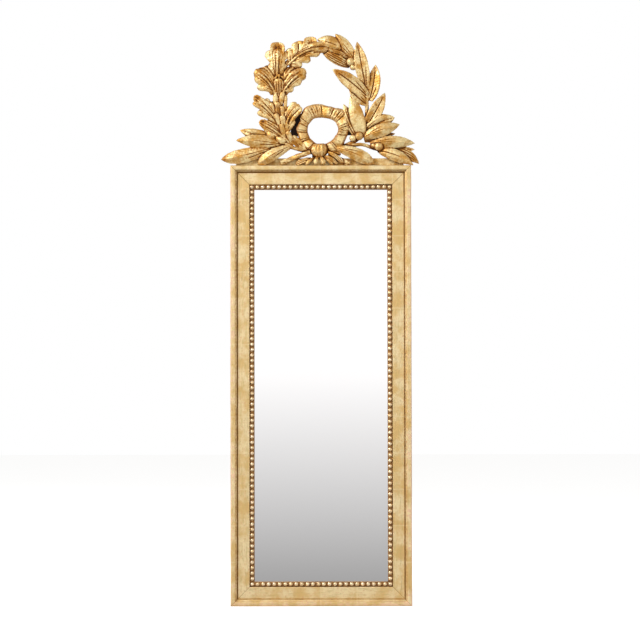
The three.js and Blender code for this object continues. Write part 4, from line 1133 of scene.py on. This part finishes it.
# Oak: long rounded lobes like fingers, deep gouge lines between them, on a broad leaf with a raised rib.
fingerOutline = [(0, 0.7), (0.2, 0.85), (0.5, 0.98), (0.74, 1), (0.88, 0.88), (0.96, 0.58), (1, 0.14)]
finger = {"outline": fingerOutline, "kind": "lobe", "relief": 3.4, "thick": 5.5, "columns": 21, "rows": 32,
          "scoop": 1.2, "cuts": ((0, 0, 0.02, 0.5, 0.9),)}
veined = dict(finger, kind="swell", relief=3.8, cuts=((0, 0, 0.05, 0.8, 1.2),))
hollow = dict(finger, kind="cup", relief=3.8, cuts=((0, 0.05, 0.05, 0.7, 0.9),))
scale = dict(finger, relief=3.4, scoop=0, cuts=())
ribbed = dict(finger, relief=3, scoop=0, cuts=tuple(
    (v, v * 1.1, 0.05, 0.9, 1.1) for v in (-0.5, 0, 0.5)))
oakBody = {"outline": [(0, 0.7), (0.3, 0.9), (0.6, 1), (0.85, 0.85), (1, 0.4)], "kind": "round",
           "relief": 3.6, "thick": 6, "columns": 13, "rows": 20,
           "cuts": tuple((v * 0.5, v, 0.1, 0.85, 0.6) for v in (-0.7, -0.35, 0.35, 0.7))}
oakRib = {"outline": [(0, 1), (0.4, 0.85), (0.8, 0.6), (1, 0.3)], "kind": "round", "relief": 2.6,
          "thick": 3, "columns": 11, "rows": 34, "width": 5, "proud": (4, 3)}
lobeForm = {"root": 2, "swell": 1.14, "rise": 2.5, "bend": 0.1, "straightWithin": 8}

# each leaf: base and tip of its rib (X, height, depth), its bend, the width of its body, and its lobes
# as (root, tip, how far the tip stands before or behind the leaf, width, look)
oakLeaves = [
    {"base": (-68, 213, 21), "tip": (16, 249, 22), "bow": 11, "rise": 3, "body": 27, "lobes": [
        ((-64, 220), (-69, 248), -2, 15, finger), ((-52, 228), (-48, 264), -2, 27, veined),
        ((-36, 237), (-20, 273.5), -1, 25, hollow), ((-28, 244), (18, 248), 1, 21, veined),
        ((-62, 214), (-40, 209), 0, 15, finger), ((-54, 221), (-21, 221.5), 1, 14, finger),
        ((-36, 232), (-2, 235), 1, 14, finger)]},
    {"base": (-92, 186, 22), "tip": (-89.5, 250, 24), "bow": 0, "rise": 4, "body": 33, "lobes": [
        ((-96, 198), (-110, 214), -3, 14, finger), ((-95, 208), (-115, 240), -1, 18, finger),
        ((-88, 210), (-70, 239), -1, 17, finger), ((-88, 200), (-72, 214), -2, 13, finger),
        ((-92, 218), (-89.5, 261.5), 0, 28, hollow)]},
    {"base": (-96, 152, 23), "tip": (-139, 200, 24), "bow": -6, "rise": 4, "body": 29, "lobes": [
        ((-100, 176), (-112, 213), -6, 16, finger), ((-96, 162), (-131, 206), -2, 31, hollow),
        ((-104, 176), (-140, 197), 2, 17, finger), ((-100, 166), (-139.5, 183), 1, 18, finger),
        ((-98, 156), (-134, 164.5), 0, 14, finger)]},
    {"base": (-80, 152, 23), "tip": (-31, 200, 24), "bow": 6, "rise": 4, "body": 29, "lobes": [
        ((-78, 178), (-66, 210), -6, 18, finger), ((-76, 168), (-44, 203), -2, 32, hollow),
        ((-72, 178), (-30, 199), 2, 17, finger), ((-72, 170), (-30, 189), -1, 16, finger),
        ((-76, 166), (-39.5, 177), 1, 17, finger), ((-80, 158), (-57, 159.5), 0, 13, finger)]},
    {"base": (-82, 82, 22), "tip": (-138, 143, 24), "bow": -3, "rise": 4, "body": 26, "lobes": [
        ((-94, 106), (-114, 143), -2, 14, finger), ((-94, 98), (-140, 148), 2, 17, hollow),
        ((-92, 94), (-143.5, 132), 2, 13, veined), ((-88, 88), (-134, 112), 0, 14, finger),
        ((-90, 106), (-101, 137), -3, 12, finger)]},
    {"base": (-70, 52, 21), "tip": (-128, 92, 22), "bow": -3, "rise": 4, "body": 23, "lobes": [
        ((-80, 64), (-130, 93), 2, 16, hollow), ((-78, 58), (-120, 76), 0, 14, finger),
        ((-84, 72), (-107, 104), -1, 14, finger), ((-82, 76), (-94, 106), -1, 11, finger)]},
    {"base": (-72, 62, 21), "tip": (-44, 128, 25), "bow": 11, "rise": 3, "body": 20, "lobes": [
        ((-76, 84), (-64, 127), -1, 15, finger), ((-74, 88), (-52, 134), 1, 16, finger),
        ((-71, 80), (-39, 122), 2, 16, veined), ((-72, 68), (-55, 97), -1, 12, finger)]},
]


def oakLeaf(store, leaf):
    base, tip = leaf["base"], leaf["tip"]
    leafForm(store, base, tip, leaf["body"], oakBody, bow=leaf["bow"], rise=leaf["rise"])
    ribBase, ribTip = ((x, height, depth + proud) for (x, height, depth), proud in
                       zip((base, tip), oakRib["proud"]))
    leafForm(store, ribBase, ribTip, oakRib["width"], oakRib, bow=leaf["bow"], rise=leaf["rise"])
    way = np.array([tip[0] - base[0], tip[1] - base[1]])
    for root, lobeTip, lift, width, look in leaf["lobes"]:
        run = np.array([lobeTip[0] - root[0], lobeTip[1] - root[1]])
        turn = way[0] * run[1] - way[1] * run[0]      # which side of the rib the lobe lies on
        share = min(1, abs(turn) / (np.linalg.norm(way) * lobeForm["straightWithin"]))
        bend = -lobeForm["bend"] * math.copysign(share, turn) * np.linalg.norm(run)
        leafForm(store, (*root, base[2] + lobeForm["root"]), (*lobeTip, tip[2] + lift),
                 width * lobeForm["swell"], look, bow=bend, rise=lobeForm["rise"])


# scales that overlap up the trunk of the branch between the leaves: foot, head, width, look
trunkScales = [
    ((-87, 146, 26), (-88.5, 184, 30), 20, ribbed), ((-94, 146, 24), (-101, 172, 26), 11, scale),
    ((-80, 146, 24), (-74, 172, 26), 11, scale), ((-84, 128, 25), (-80, 156, 28), 12, scale),
    ((-94, 122, 24), (-95, 151, 27), 12, scale), ((-75, 106, 23), (-73, 150, 25), 8, scale),
    ((-98, 102, 24), (-104, 133, 26), 10, scale), ((-87, 108, 26), (-91, 134, 29), 11, ribbed),
    ((-80, 100, 25), (-81, 126, 28), 10, scale), ((-72, 88, 23), (-72, 116, 26), 9, scale),
    ((-86, 84, 26), (-95, 110, 29), 12, scale), ((-77, 78, 26), (-81, 106, 30), 13, scale),
    ((-76, 60, 26), (-83, 88, 30), 11, scale), ((-69, 64, 24), (-71, 90, 27), 9, scale),
    ((-60, 48, 25), (-70, 73, 29), 11, scale), ((-58, 44, 22), (-88, 68, 25), 10, scale),
    ((-44, 38, 23), (-66, 59, 27), 10, ribbed), ((-28, 35, 21), (-60, 64, 24), 10, scale),
    ((-52, 36, 20), (-84, 52, 23), 8, scale), ((-26, 31, 22), (-58, 48, 23), 7, scale),
    ((-24, 29, 20), (-54, 40, 21), 6, scale),
]
# curls where the highest leaf sets out: X, height, turn
trunkCurls = [(-94, 186, 40), (-87, 189, 0), (-80, 186, -40)]
store = newStore()
rod(store, [(-14, 36, 18), (-52, 49, 18), (-78, 78, 18), (-89, 129, 19), (-90, 165, 20), (-84, 200, 20),
            (-62, 224, 19), (-30, 243, 18)], [4.6, 5.6, 8, 9.5, 9, 6.5, 4.5, 3.0], knots=0.1)
for leaf in oakLeaves:
    oakLeaf(store, leaf)
for foot, head, width, look in trunkScales:
    leafForm(store, foot, head, width, look, rise=1)
for x, height, turn in trunkCurls:
    ball(store, (x, height, 29), (2.4, 3, 4.2), turn=turn)
ball(store, (-105, 64, 23), (7.5, 6.5, 10), tip=0.2, turn=-45, crease=0.14)
ball(store, (-83, 54, 24.5), (8, 7, 11), tip=0.2, turn=-60, crease=0.14)
fuse("oak_wreath", store, "oak_branch", grain=0.85)
print("oak carved")


# Ribbon ring: a gathered band, plain slanted faces between groups of fine folds that fan out from the hole.
ringShape = {
    "outer": (4.4, 78, 58.5, 53.5), "inner": (4.6, 73, 31.5, 28), "back": 12, "edge": 20.5, "front": 25.5,
    # how far the gathered cloth stands out or draws in round the ring: (degrees, share of the radius)
    "outerShares": [(0, 0.97), (18, 0.99), (32, 1.06), (49, 1.05), (61, 0.94), (78, 0.93), (107, 1.02),
                    (130, 1.07), (145, 1), (159, 0.86), (170, 0.91), (180, 0.96), (193, 0.93), (218, 0.99),
                    (236, 1), (255, 0.98), (285, 1), (302, 1.07), (312, 1.01), (325, 0.96), (350, 0.92)],
    "innerShares": [(8, 1.04), (39, 1.08), (69, 1.02), (99, 1.02), (124, 1.12), (158, 1.06), (188, 1),
                    (227, 1), (261, 1.02), (300, 0.91), (338, 0.91)],
    "slant": 7, "cutWidth": 1.2, "cut": 1.3,      # how wide and deep the knife line between two folds is
    "folds": [2, 8, 15, 37, 42, 48, 55, 64, 70, 93, 98, 104, 110, 116, 124, 151, 157, 164, 181, 187, 208, 214,
              236, 242, 256, 284, 300, 306, 322, 344, 350, 356],
    "fullness": 0.7, "swell": 1.2, "steps": 900, "across": 26,
    "wear": {"fine": 0.2, "broad": 1.2, "fineRounds": 6, "broadRounds": 50},
}


def ribbonRing(look):
    store = newStore()
    folds = np.array(look["folds"] + [look["folds"][0] + 360], dtype=float)
    rows = []
    for step in range(look["steps"]):
        degrees = 360 * step / look["steps"]
        seen = degrees if degrees >= folds[0] else degrees + 360
        k = int(np.clip(np.searchsorted(folds, seen, "right") - 1, 0, len(folds) - 2))
        gap = folds[k + 1] - folds[k]
        share = (seen - folds[k]) / gap
        half = math.radians(gap / 2)
        chord = math.cos(half) / math.cos(math.radians(seen - folds[k]) - half)
        near = min(share, 1 - share) * gap * 0.8          # millimetres from the nearest knife line, about
        groove = look["cut"] * math.exp(-(near / look["cutWidth"]) ** 2)
        slope = look["slant"] * (share - 0.5) * min(1, gap / 20) * (1 if k % 2 else -1)
        full = look["fullness"] * min(1, 9 / gap) * math.sin(math.pi * share)
        angle = math.radians(degrees)
        c, s = math.cos(angle), math.sin(angle)
        inner, outer = (
            np.array([x + wide * c * reach * chord, z + high * s * reach * chord])
            for (x, z, wide, high), reach in (
                (look["inner"], np.interp(degrees, *zip(*look["innerShares"]), period=360)),
                (look["outer"], np.interp(degrees, *zip(*look["outerShares"]), period=360))))
        loop = []
        for t in np.linspace(0, 1, look["across"]):
            here = inner + (outer - inner) * t
            crown = min(1.0, 4.2 * t + 0.15, 5.5 * (1 - t) + 0.1)
            proud = look["front"] - look["edge"] + full + slope * (0.35 + 0.65 * t) - groove
            depth = look["edge"] + proud * crown + look["swell"] * math.sin(math.pi * t)
            loop.append(place(here[0], here[1], depth))
        for t in (0.96, 0.5, 0.04):
            here = inner + (outer - inner) * t
            loop.append(place(here[0], here[1], look["back"]))
        rows.append(loop)
    shell(store, rows, capped=False)
    return store


ring = bodyOf("ribbon_wreath_ring", ribbonRing(ringShape))
handWorked(ring.data, carving, carving["ringSeed"])
giltCarving(ring, "ribbon_ring", wear=ringShape["wear"])

# Knot: a strap round the ring, gathered in upright folds and drawn in at its foot.
knotShape = {
    "centre": -3.2, "sections": [(46, 11, 29), (44, 14, 33), (39, 17.5, 35.5), (32.5, 19.5, 36.5),
                                 (26, 18.5, 36), (21, 14.5, 33.5), (17, 10.5, 30)],
    "folds": 5, "depth": 2.2, "back": 8.4,
    "wear": {"fine": 0.3, "broad": 3, "fineRounds": 6, "broadRounds": 50},
}


def knotForm(store, look):
    u = np.linspace(0, 1, 44)
    shares = (evenly(values, u) for values in zip(*reversed(look["sections"])))
    rows = []
    for up, height, half, front in zip(u, *shares):
        loop = []
        for v in np.linspace(-1, 1, 61):
            crown = max(0.0, 1 - (0.93 * v) ** 4) ** 0.5
            turn = math.pi * look["folds"] * (v * 0.5 + 0.03 * math.sin(4 * up))
            fold = look["depth"] * abs(math.cos(turn)) ** 0.6
            fold = look["depth"] + (fold - look["depth"]) * (0.6 + 0.4 * abs(v))
            loop.append(place(look["centre"] + v * half, height + 1.2 * v * v, look["back"]
                              + (front - look["back"]) * crown - look["depth"] + fold))
        for v in (0.7, 0, -0.7):
            loop.append(place(look["centre"] + v * half, height, look["back"]))
        rows.append(loop)
    shell(store, rows)


store = newStore()
knotForm(store, knotShape)
fuse("ribbon_knot_carved", store, "ribbon_knot", grain=0.6, wear=knotShape["wear"])

folded = {"outline": [(0, 0.5), (0.25, 0.82), (0.55, 1), (0.8, 0.98), (0.95, 0.75), (1, 0.5)],
          "kind": "round", "relief": 4.5, "ridges": ((3, 0.9),), "thick": 4}
petal = {"outline": [(0, 0.4), (0.3, 0.75), (0.6, 1), (0.85, 0.9), (1, 0.4)], "kind": "lobe", "relief": 3.4,
         "thick": 4, "cuts": ((0, 0, 0.05, 0.5, 0.7),)}
fanPetals = [
    ((-20, 15, 22), (-52, 3, 23), 12, folded, {"bow": -1, "rise": 2}),
    ((-13, 17, 25), (-31, 1.5, 27), 8.5, petal, {"bow": -1, "rise": 2}),
    ((-6, 20, 28), (-11.5, 1.5, 32), 9.5, petal, {"bow": -0.6, "rise": 2}),
    ((0, 20, 28), (7, 1.5, 32), 11, petal, {"bow": 0.6, "rise": 2}),
    ((6, 18, 26), (26, 1, 27), 8, petal, {"bow": 1, "rise": 2}),
]
tails = [
    ((15, 28, 27), (47, 5, 26), 9.5, folded, {"bow": 2.5, "rise": 4}),
    ((8, 20, 26), (35, 2, 25), 8.5, folded, {"bow": 3, "rise": 3}),
    ((22, 29, 22), (42, 23, 21), 7, folded, {"bow": 1, "rise": 1}),
    ((36, 14, 20), (58, 3, 20), 12, folded, {"bow": 1, "rise": 1}),
]
store = newStore()
leafForms(store, fanPetals)
rod(store, [(-12, 20, 22), (-4, 19, 22), (5, 20, 22)], [4, 4.5, 4])
fuse("ribbon_fan_carved", store, "ribbon_fan", grain=0.6)
store = newStore()
leafForms(store, tails)
fuse("ribbon_tail_carved", store, "ribbon_tail", grain=0.6)

# Cut ends of the two branches, crossing below the knot; the bark is gouged and the ends are sawn.
cutEnds = {
    "left": [(-22, 28, 27), (-44, 21, 26.5), (-64, 13, 26), (-84, 6, 25)],
    "right": [(15, 22, 22), (32, 17, 21.5), (47, 11, 21), (62, 6, 20.5)],
}
for side, path in cutEnds.items():
    store = newStore()
    rod(store, path, [4.4, 5.2, 4.9, 5.6], around=28, knots=0.07)
    fuse(f"sawn_branch_{side}", store, f"cut_stem_{side}", grain=0.6)
print("ribbon carved")


# Painted shade, with the toning that also gathers there, where one carving stands in front of another:
# a point darkens with how far what is near it, seen from the front, stands proud of it.
seams = {
    "cell": 0.8, "levelGap": 2.0, "deepest": 46, "from": 0.25,
    "reaches": ((2.6, 1.6, 0.62), (7, 3.4, 0.42)),      # reach, depth, amount
}


def averaged(grid, wide):
    # each cell becomes the mean of the square round it, twice over
    span = 2 * wide + 1
    for axis in (0, 1, 0, 1):
        total = np.cumsum(np.pad(grid, [(wide + 1, wide) if a == axis else (0, 0) for a in (0, 1)]), axis)
        grid = (np.take(total, range(span, total.shape[axis]), axis)
                - np.take(total, range(0, total.shape[axis] - span), axis)) / span
    return grid


def toneAndShadeSeams(things, look):
    low = np.array(cadBox[0]) / mm
    places = [placesOf(thing.data) / mm for thing in things]
    size = (np.array(cadBox[1]) / mm - low)[[0, 2]] / look["cell"] + 3
    front = np.zeros(size.astype(int))
    spots = [((p[:, [0, 2]] - low[[0, 2]]) / look["cell"] + 1).astype(int) for p in places]
    for spot, p in zip(spots, places):
        np.maximum.at(front, (spot[:, 0], spot[:, 1]), -p[:, 1])
    levels = np.arange(0, look["deepest"], look["levelGap"])
    darkening = [np.zeros(len(p)) for p in places]
    for reach, depth, amount in look["reaches"]:
        wide = int(reach / look["cell"])
        layers = np.stack([averaged(np.maximum(front - level, 0), wide) for level in levels])
        for dark, spot, p in zip(darkening, spots, places):
            level = np.clip(-p[:, 1] / look["levelGap"], 0, len(levels) - 1.001)
            under = level.astype(int)
            share = level - under
            proud = (layers[under, spot[:, 0], spot[:, 1]] * (1 - share)
                     + layers[under + 1, spot[:, 0], spot[:, 1]] * share)
            dark += amount * np.clip(proud / depth - look["from"], 0, 1)
    for thing, dark in zip(things, darkening):
        darken(thing.data, dark)


toneAndShadeSeams(carved, seams)

# Patches of painted shade and painted highlight: brown on the tips that turn away from the light, and pale
# on broad leaves and fruit. Each patch: X, height above the frame, radius, amount
shadeAndHighlightPatches = [
    (-90, 249, 14, 0.42), (3, 248, 12, 0.42), (-38, 238, 10, 0.25), (-124, 203, 14, 0.4),
    (-52, 203, 15, 0.4),
    (-88, 167, 16, 0.3), (-135, 145, 9, 0.35), (-123, 92, 10, 0.4), (30, 235, 11, 0.35), (79, 252, 9, 0.35),
    (116, 206, 11, 0.35), (40, 197, 14, 0.38), (131, 148, 9, 0.28), (-28, 109, 8, 0.3), (24, 114, 8, 0.25),
    (-205, 13, 10, 0.4), (202, 8, 10, 0.3), (106, 41, 8, 0.35), (-24, 28, 9, 0.25), (12, 28, 6, 0.3),
    (73, 122, 18, -0.25), (128, 87, 22, -0.25), (-160, 66, 24, -0.25), (160, 48, 24, -0.2),
    (-47, 222, 9, -0.45), (62, 222, 8, -0.4), (-52, 122, 8, -0.3), (-5, 36, 7, -0.35), (-104, 222, 8, -0.25),
    (-2, 8, 9, -0.3),
]


# positive amounts paint shade, negative amounts paint highlights
def paintShadeAndHighlights(mesh, patches):
    places = placesOf(mesh) / mm
    total = np.zeros(len(places))
    for x, height, radius, amount in patches:
        far = np.hypot(places[:, 0] - x, places[:, 2] - crestFoot - height) / radius
        total += amount * np.exp(-far ** 2)
    darken(mesh, total)


def bareBehind(thing, slope):
    # what faces the wall more steeply than the slope is left as bare wood
    thing.data.materials.append(carvedBack)
    for face in thing.data.polygons:
        face.material_index = 1 if face.normal.y > slope else 0


for thing in carved:
    paintShadeAndHighlights(thing.data, shadeAndHighlightPatches)
    bareBehind(thing, carving["backFrom"])
print("seams toned")


# ------ back: lapped pine boards nailed into the rebate, keys across the corners, straps with their D-rings

backParts = {
    "plinthEdge": 0.9, "plinthBack": 0.7, "boardEdge": 0.45, "keyEdge": 0.3, "strapEdge": 0.22,
    "sharpAngle": 40, "flatAngle": 1, "joinAngle": 0.8, "joinShape": 1.2, "weld": 0.001,
    "nailInset": 38, "nailGap": 62, "nailHead": 1.9, "nailRise": 0.13, "nailSpread": 0.15, "nailSeed": 3,
    "nailStray": {"across": 0.7, "upright": 2.5, "level": 0.6},
    "slotWidth": 0.9, "slotDepth": 0.7,
}


def copyOf(name, node, edge=0.0, levels=0):
    # the CAD's own shape, its loose triangles joined, with its sharp edges eased or all of it rounded
    look = backParts
    body = bmesh.new()
    body.from_mesh(nodes[node].data)
    bmesh.ops.remove_doubles(body, verts=body.verts, dist=look["weld"] * mm)
    if levels:
        bmesh.ops.join_triangles(body, faces=body.faces, angle_face_threshold=look["joinAngle"],
                                 angle_shape_threshold=look["joinShape"])
    else:
        bmesh.ops.dissolve_limit(body, angle_limit=math.radians(look["flatAngle"]), verts=body.verts,
                                 edges=body.edges)
    mesh = bpy.data.meshes.new(name)
    body.to_mesh(mesh)
    body.free()
    thing = newObject(name, mesh)
    if edge:
        bevel = thing.modifiers.new("eased edges", "BEVEL")
        bevel.width = edge * mm
        bevel.segments = 3
        bevel.limit_method = "ANGLE"
        bevel.angle_limit = math.radians(look["sharpAngle"])
    if levels:
        finer = thing.modifiers.new("rounded", "SUBSURF")
        finer.levels = finer.render_levels = levels
    return turnOutward(settle(thing))


plinth = copyOf("carving_plinth", "crest_board", backParts["plinthEdge"])
dress(plinth, carvingGilt, "gilt_carving", "crest_board")
bareBehind(plinth, backParts["plinthBack"])
for number in (1, 2, 3):
    board = copyOf(f"pine_board_{number}", f"back_board_{number}", backParts["boardEdge"])
    dress(board, boardWood, "bare_pine", f"back_board_{number}")
for side in uprights:
    for end in ("top", "bottom"):
        key = copyOf(f"key_{end}_{side}", f"corner_key_{end}_{side}", backParts["keyEdge"])
        dress(key, uprightWood, "bare_pine", f"corner_key_{end}_{side}")
    strap = copyOf(f"steel_strap_{side}", f"strap_{side}", backParts["strapEdge"])
    dress(strap, hangerSteel, "steel", f"strap_{side}")
    ring = copyOf(f"steel_d_ring_{side}", f"d_ring_{side}", levels=2)
    ring.data.shade_smooth()
    dress(ring, hangerSteel, "steel", f"d_ring_{side}", body=f"{side}_ring")
print("back built")


def screwHead(radius, rise, sunk):
    # a turned head with a sawn slot, its top towards +Y; sunk heads are flat and taper into the wood
    look = backParts
    profile = ([(0, 0), (radius - 0.15, 0), (radius, -0.2), (radius * 0.55, -rise)] if sunk else
               [(0, rise), (radius * 0.45, rise * 0.93), (radius * 0.8, rise * 0.62), (radius, rise * 0.12),
                (radius, 0)])
    head = turned("head", profile, 28)
    top, reach, half = profile[0][1], radius * 1.3, look["slotWidth"] / 2
    slot = newBlock("slot", (-reach, top - look["slotDepth"], -half), (reach, top + 1, half))
    cut = head.modifiers.new("slot", "BOOLEAN")
    cut.operation = "DIFFERENCE"
    cut.object = slot
    cut.solver = "EXACT"
    settle(head)
    bpy.data.objects.remove(slot)
    return head


def nailHead(radius, rise, around=8):
    # a rose head: four hammered facets round a low point
    rim = [(x * (1 + 0.06 * math.cos(4 * a)), y, z * (1 + 0.06 * math.cos(4 * a)))
           for a, (x, y, z) in zip(np.arange(around) * 2 * math.pi / around, circle(radius, 0.0, around))]
    low = [(x * 0.8, -0.4, z * 0.8) for x, _, z in rim]
    faces = [(0, 1 + (k + 1) % around, 1 + k) for k in range(around)] + bands(1, 2, around)
    faces.append(tuple(range(1 + around, 1 + 2 * around)))
    points = [Vector(p) * mm for p in ((0, rise, 0), *rim, *low)]
    return turnOutward(newMesh("nail head", points, faces, smooth=False))


def scatterTree():
    # one shape set on every point of the mesh it is given, each turned about Y and sized a little differently
    tree, given = newGroup("fixings", {
        "Fixing": "Object", "Size Low": "Float", "Size High": "Float", "Seed": "Int", "Finish": "Material"})
    shape = addNode(tree, "GeometryNodeObjectInfo", {"Object": given["Fixing"], "As Instance": True})
    turn = randomBetween(tree, (0, 0, 0), (0, 6.28, 0), given["Seed"])
    size = randomBetween(tree, given["Size Low"], given["Size High"], given["Seed"], "FLOAT")
    placed = addNode(tree, "GeometryNodeInstanceOnPoints", {
        "Points": given["Geometry"], "Instance": shape.outputs["Geometry"], "Rotation": turn, "Scale": size})
    finishGroup(tree, placed.outputs[0], given["Finish"])
    return tree


fixingTree = scatterTree()


def fixings(name, shape, spots, finish, seed, spread, *replaced):
    thing = runTree(newMesh(name, spots, []), fixingTree, {
        "Fixing": shape, "Size Low": 1 - spread, "Size High": 1.0, "Seed": seed, "Finish": finish})
    bpy.data.objects.remove(shape)
    dress(thing, finish, "steel", *replaced)


def screwSpots(screws, sunk):
    # the middle of each screw's back face, so far in from it
    boxes = [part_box(node) for node in screws]
    return [((low[0] + high[0]) / 2, high[1] - sunk * mm, (low[2] + high[2]) / 2) for low, high in boxes]


def nailSpots(look):
    # round the boards, a hand's breadth apart, driven through into the rebate of the frame
    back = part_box("back_board_1")[1][1]
    inset, gap, stray = look["nailInset"] * mm, look["nailGap"] * mm, look["nailStray"]
    halfWide = outerHigh.x - inset
    foot, head = outerBottom + inset, outerTop - inset
    tall, wide = int((head - foot) / gap), int(2 * halfWide / gap)
    spots = [(x, foot + (head - foot) * (k + 0.5) / tall, stray["upright"])
             for x in (-halfWide, halfWide) for k in range(tall)]
    spots += [(-halfWide + 2 * halfWide * (k + 0.5) / wide, z, stray["level"])
              for z in (foot, head) for k in range(wide)]
    draw = np.random.default_rng(look["nailSeed"])
    return [(x + draw.normal() * stray["across"] * mm, back, z + draw.normal() * along * mm)
            for x, z, along in spots]


strapScrews = [f"strap_screw_{side}_{k}" for side in uprights for k in (1, 2)]
spineScrews = ["spine_screw_1", "spine_screw_2"]
fixings("strap_screws", screwHead(3.5, 1.78, False), screwSpots(strapScrews, 1.8), hangerSteel, 4, 0.0,
        *strapScrews)
fixings("spine_screws", screwHead(3.25, 2.2, True), screwSpots(spineScrews, 0.02), bradIron, 6, 0.0,
        *spineScrews)
fixings("board_nails", nailHead(backParts["nailHead"], backParts["nailRise"]), nailSpots(backParts), bradIron,
        9, backParts["nailSpread"])
print("fixings driven")


# ------ what stays as the CAD gives it, with its own finish

for name, material in {
    "mirror_glass": silvered,
    # the bridges' near-black wood is also painted shade in the gaps beside the ring
    "crest_spine": blackWoodAndShade, "crest_bridge_left": blackWoodAndShade, "crest_bridge_right": blackWoodAndShade,
    **{f"glass_block_{k}": levelPine for k in range(1, 7)},
}.items():
    nodes[name].data.materials.clear()
    nodes[name].data.materials.append(material)
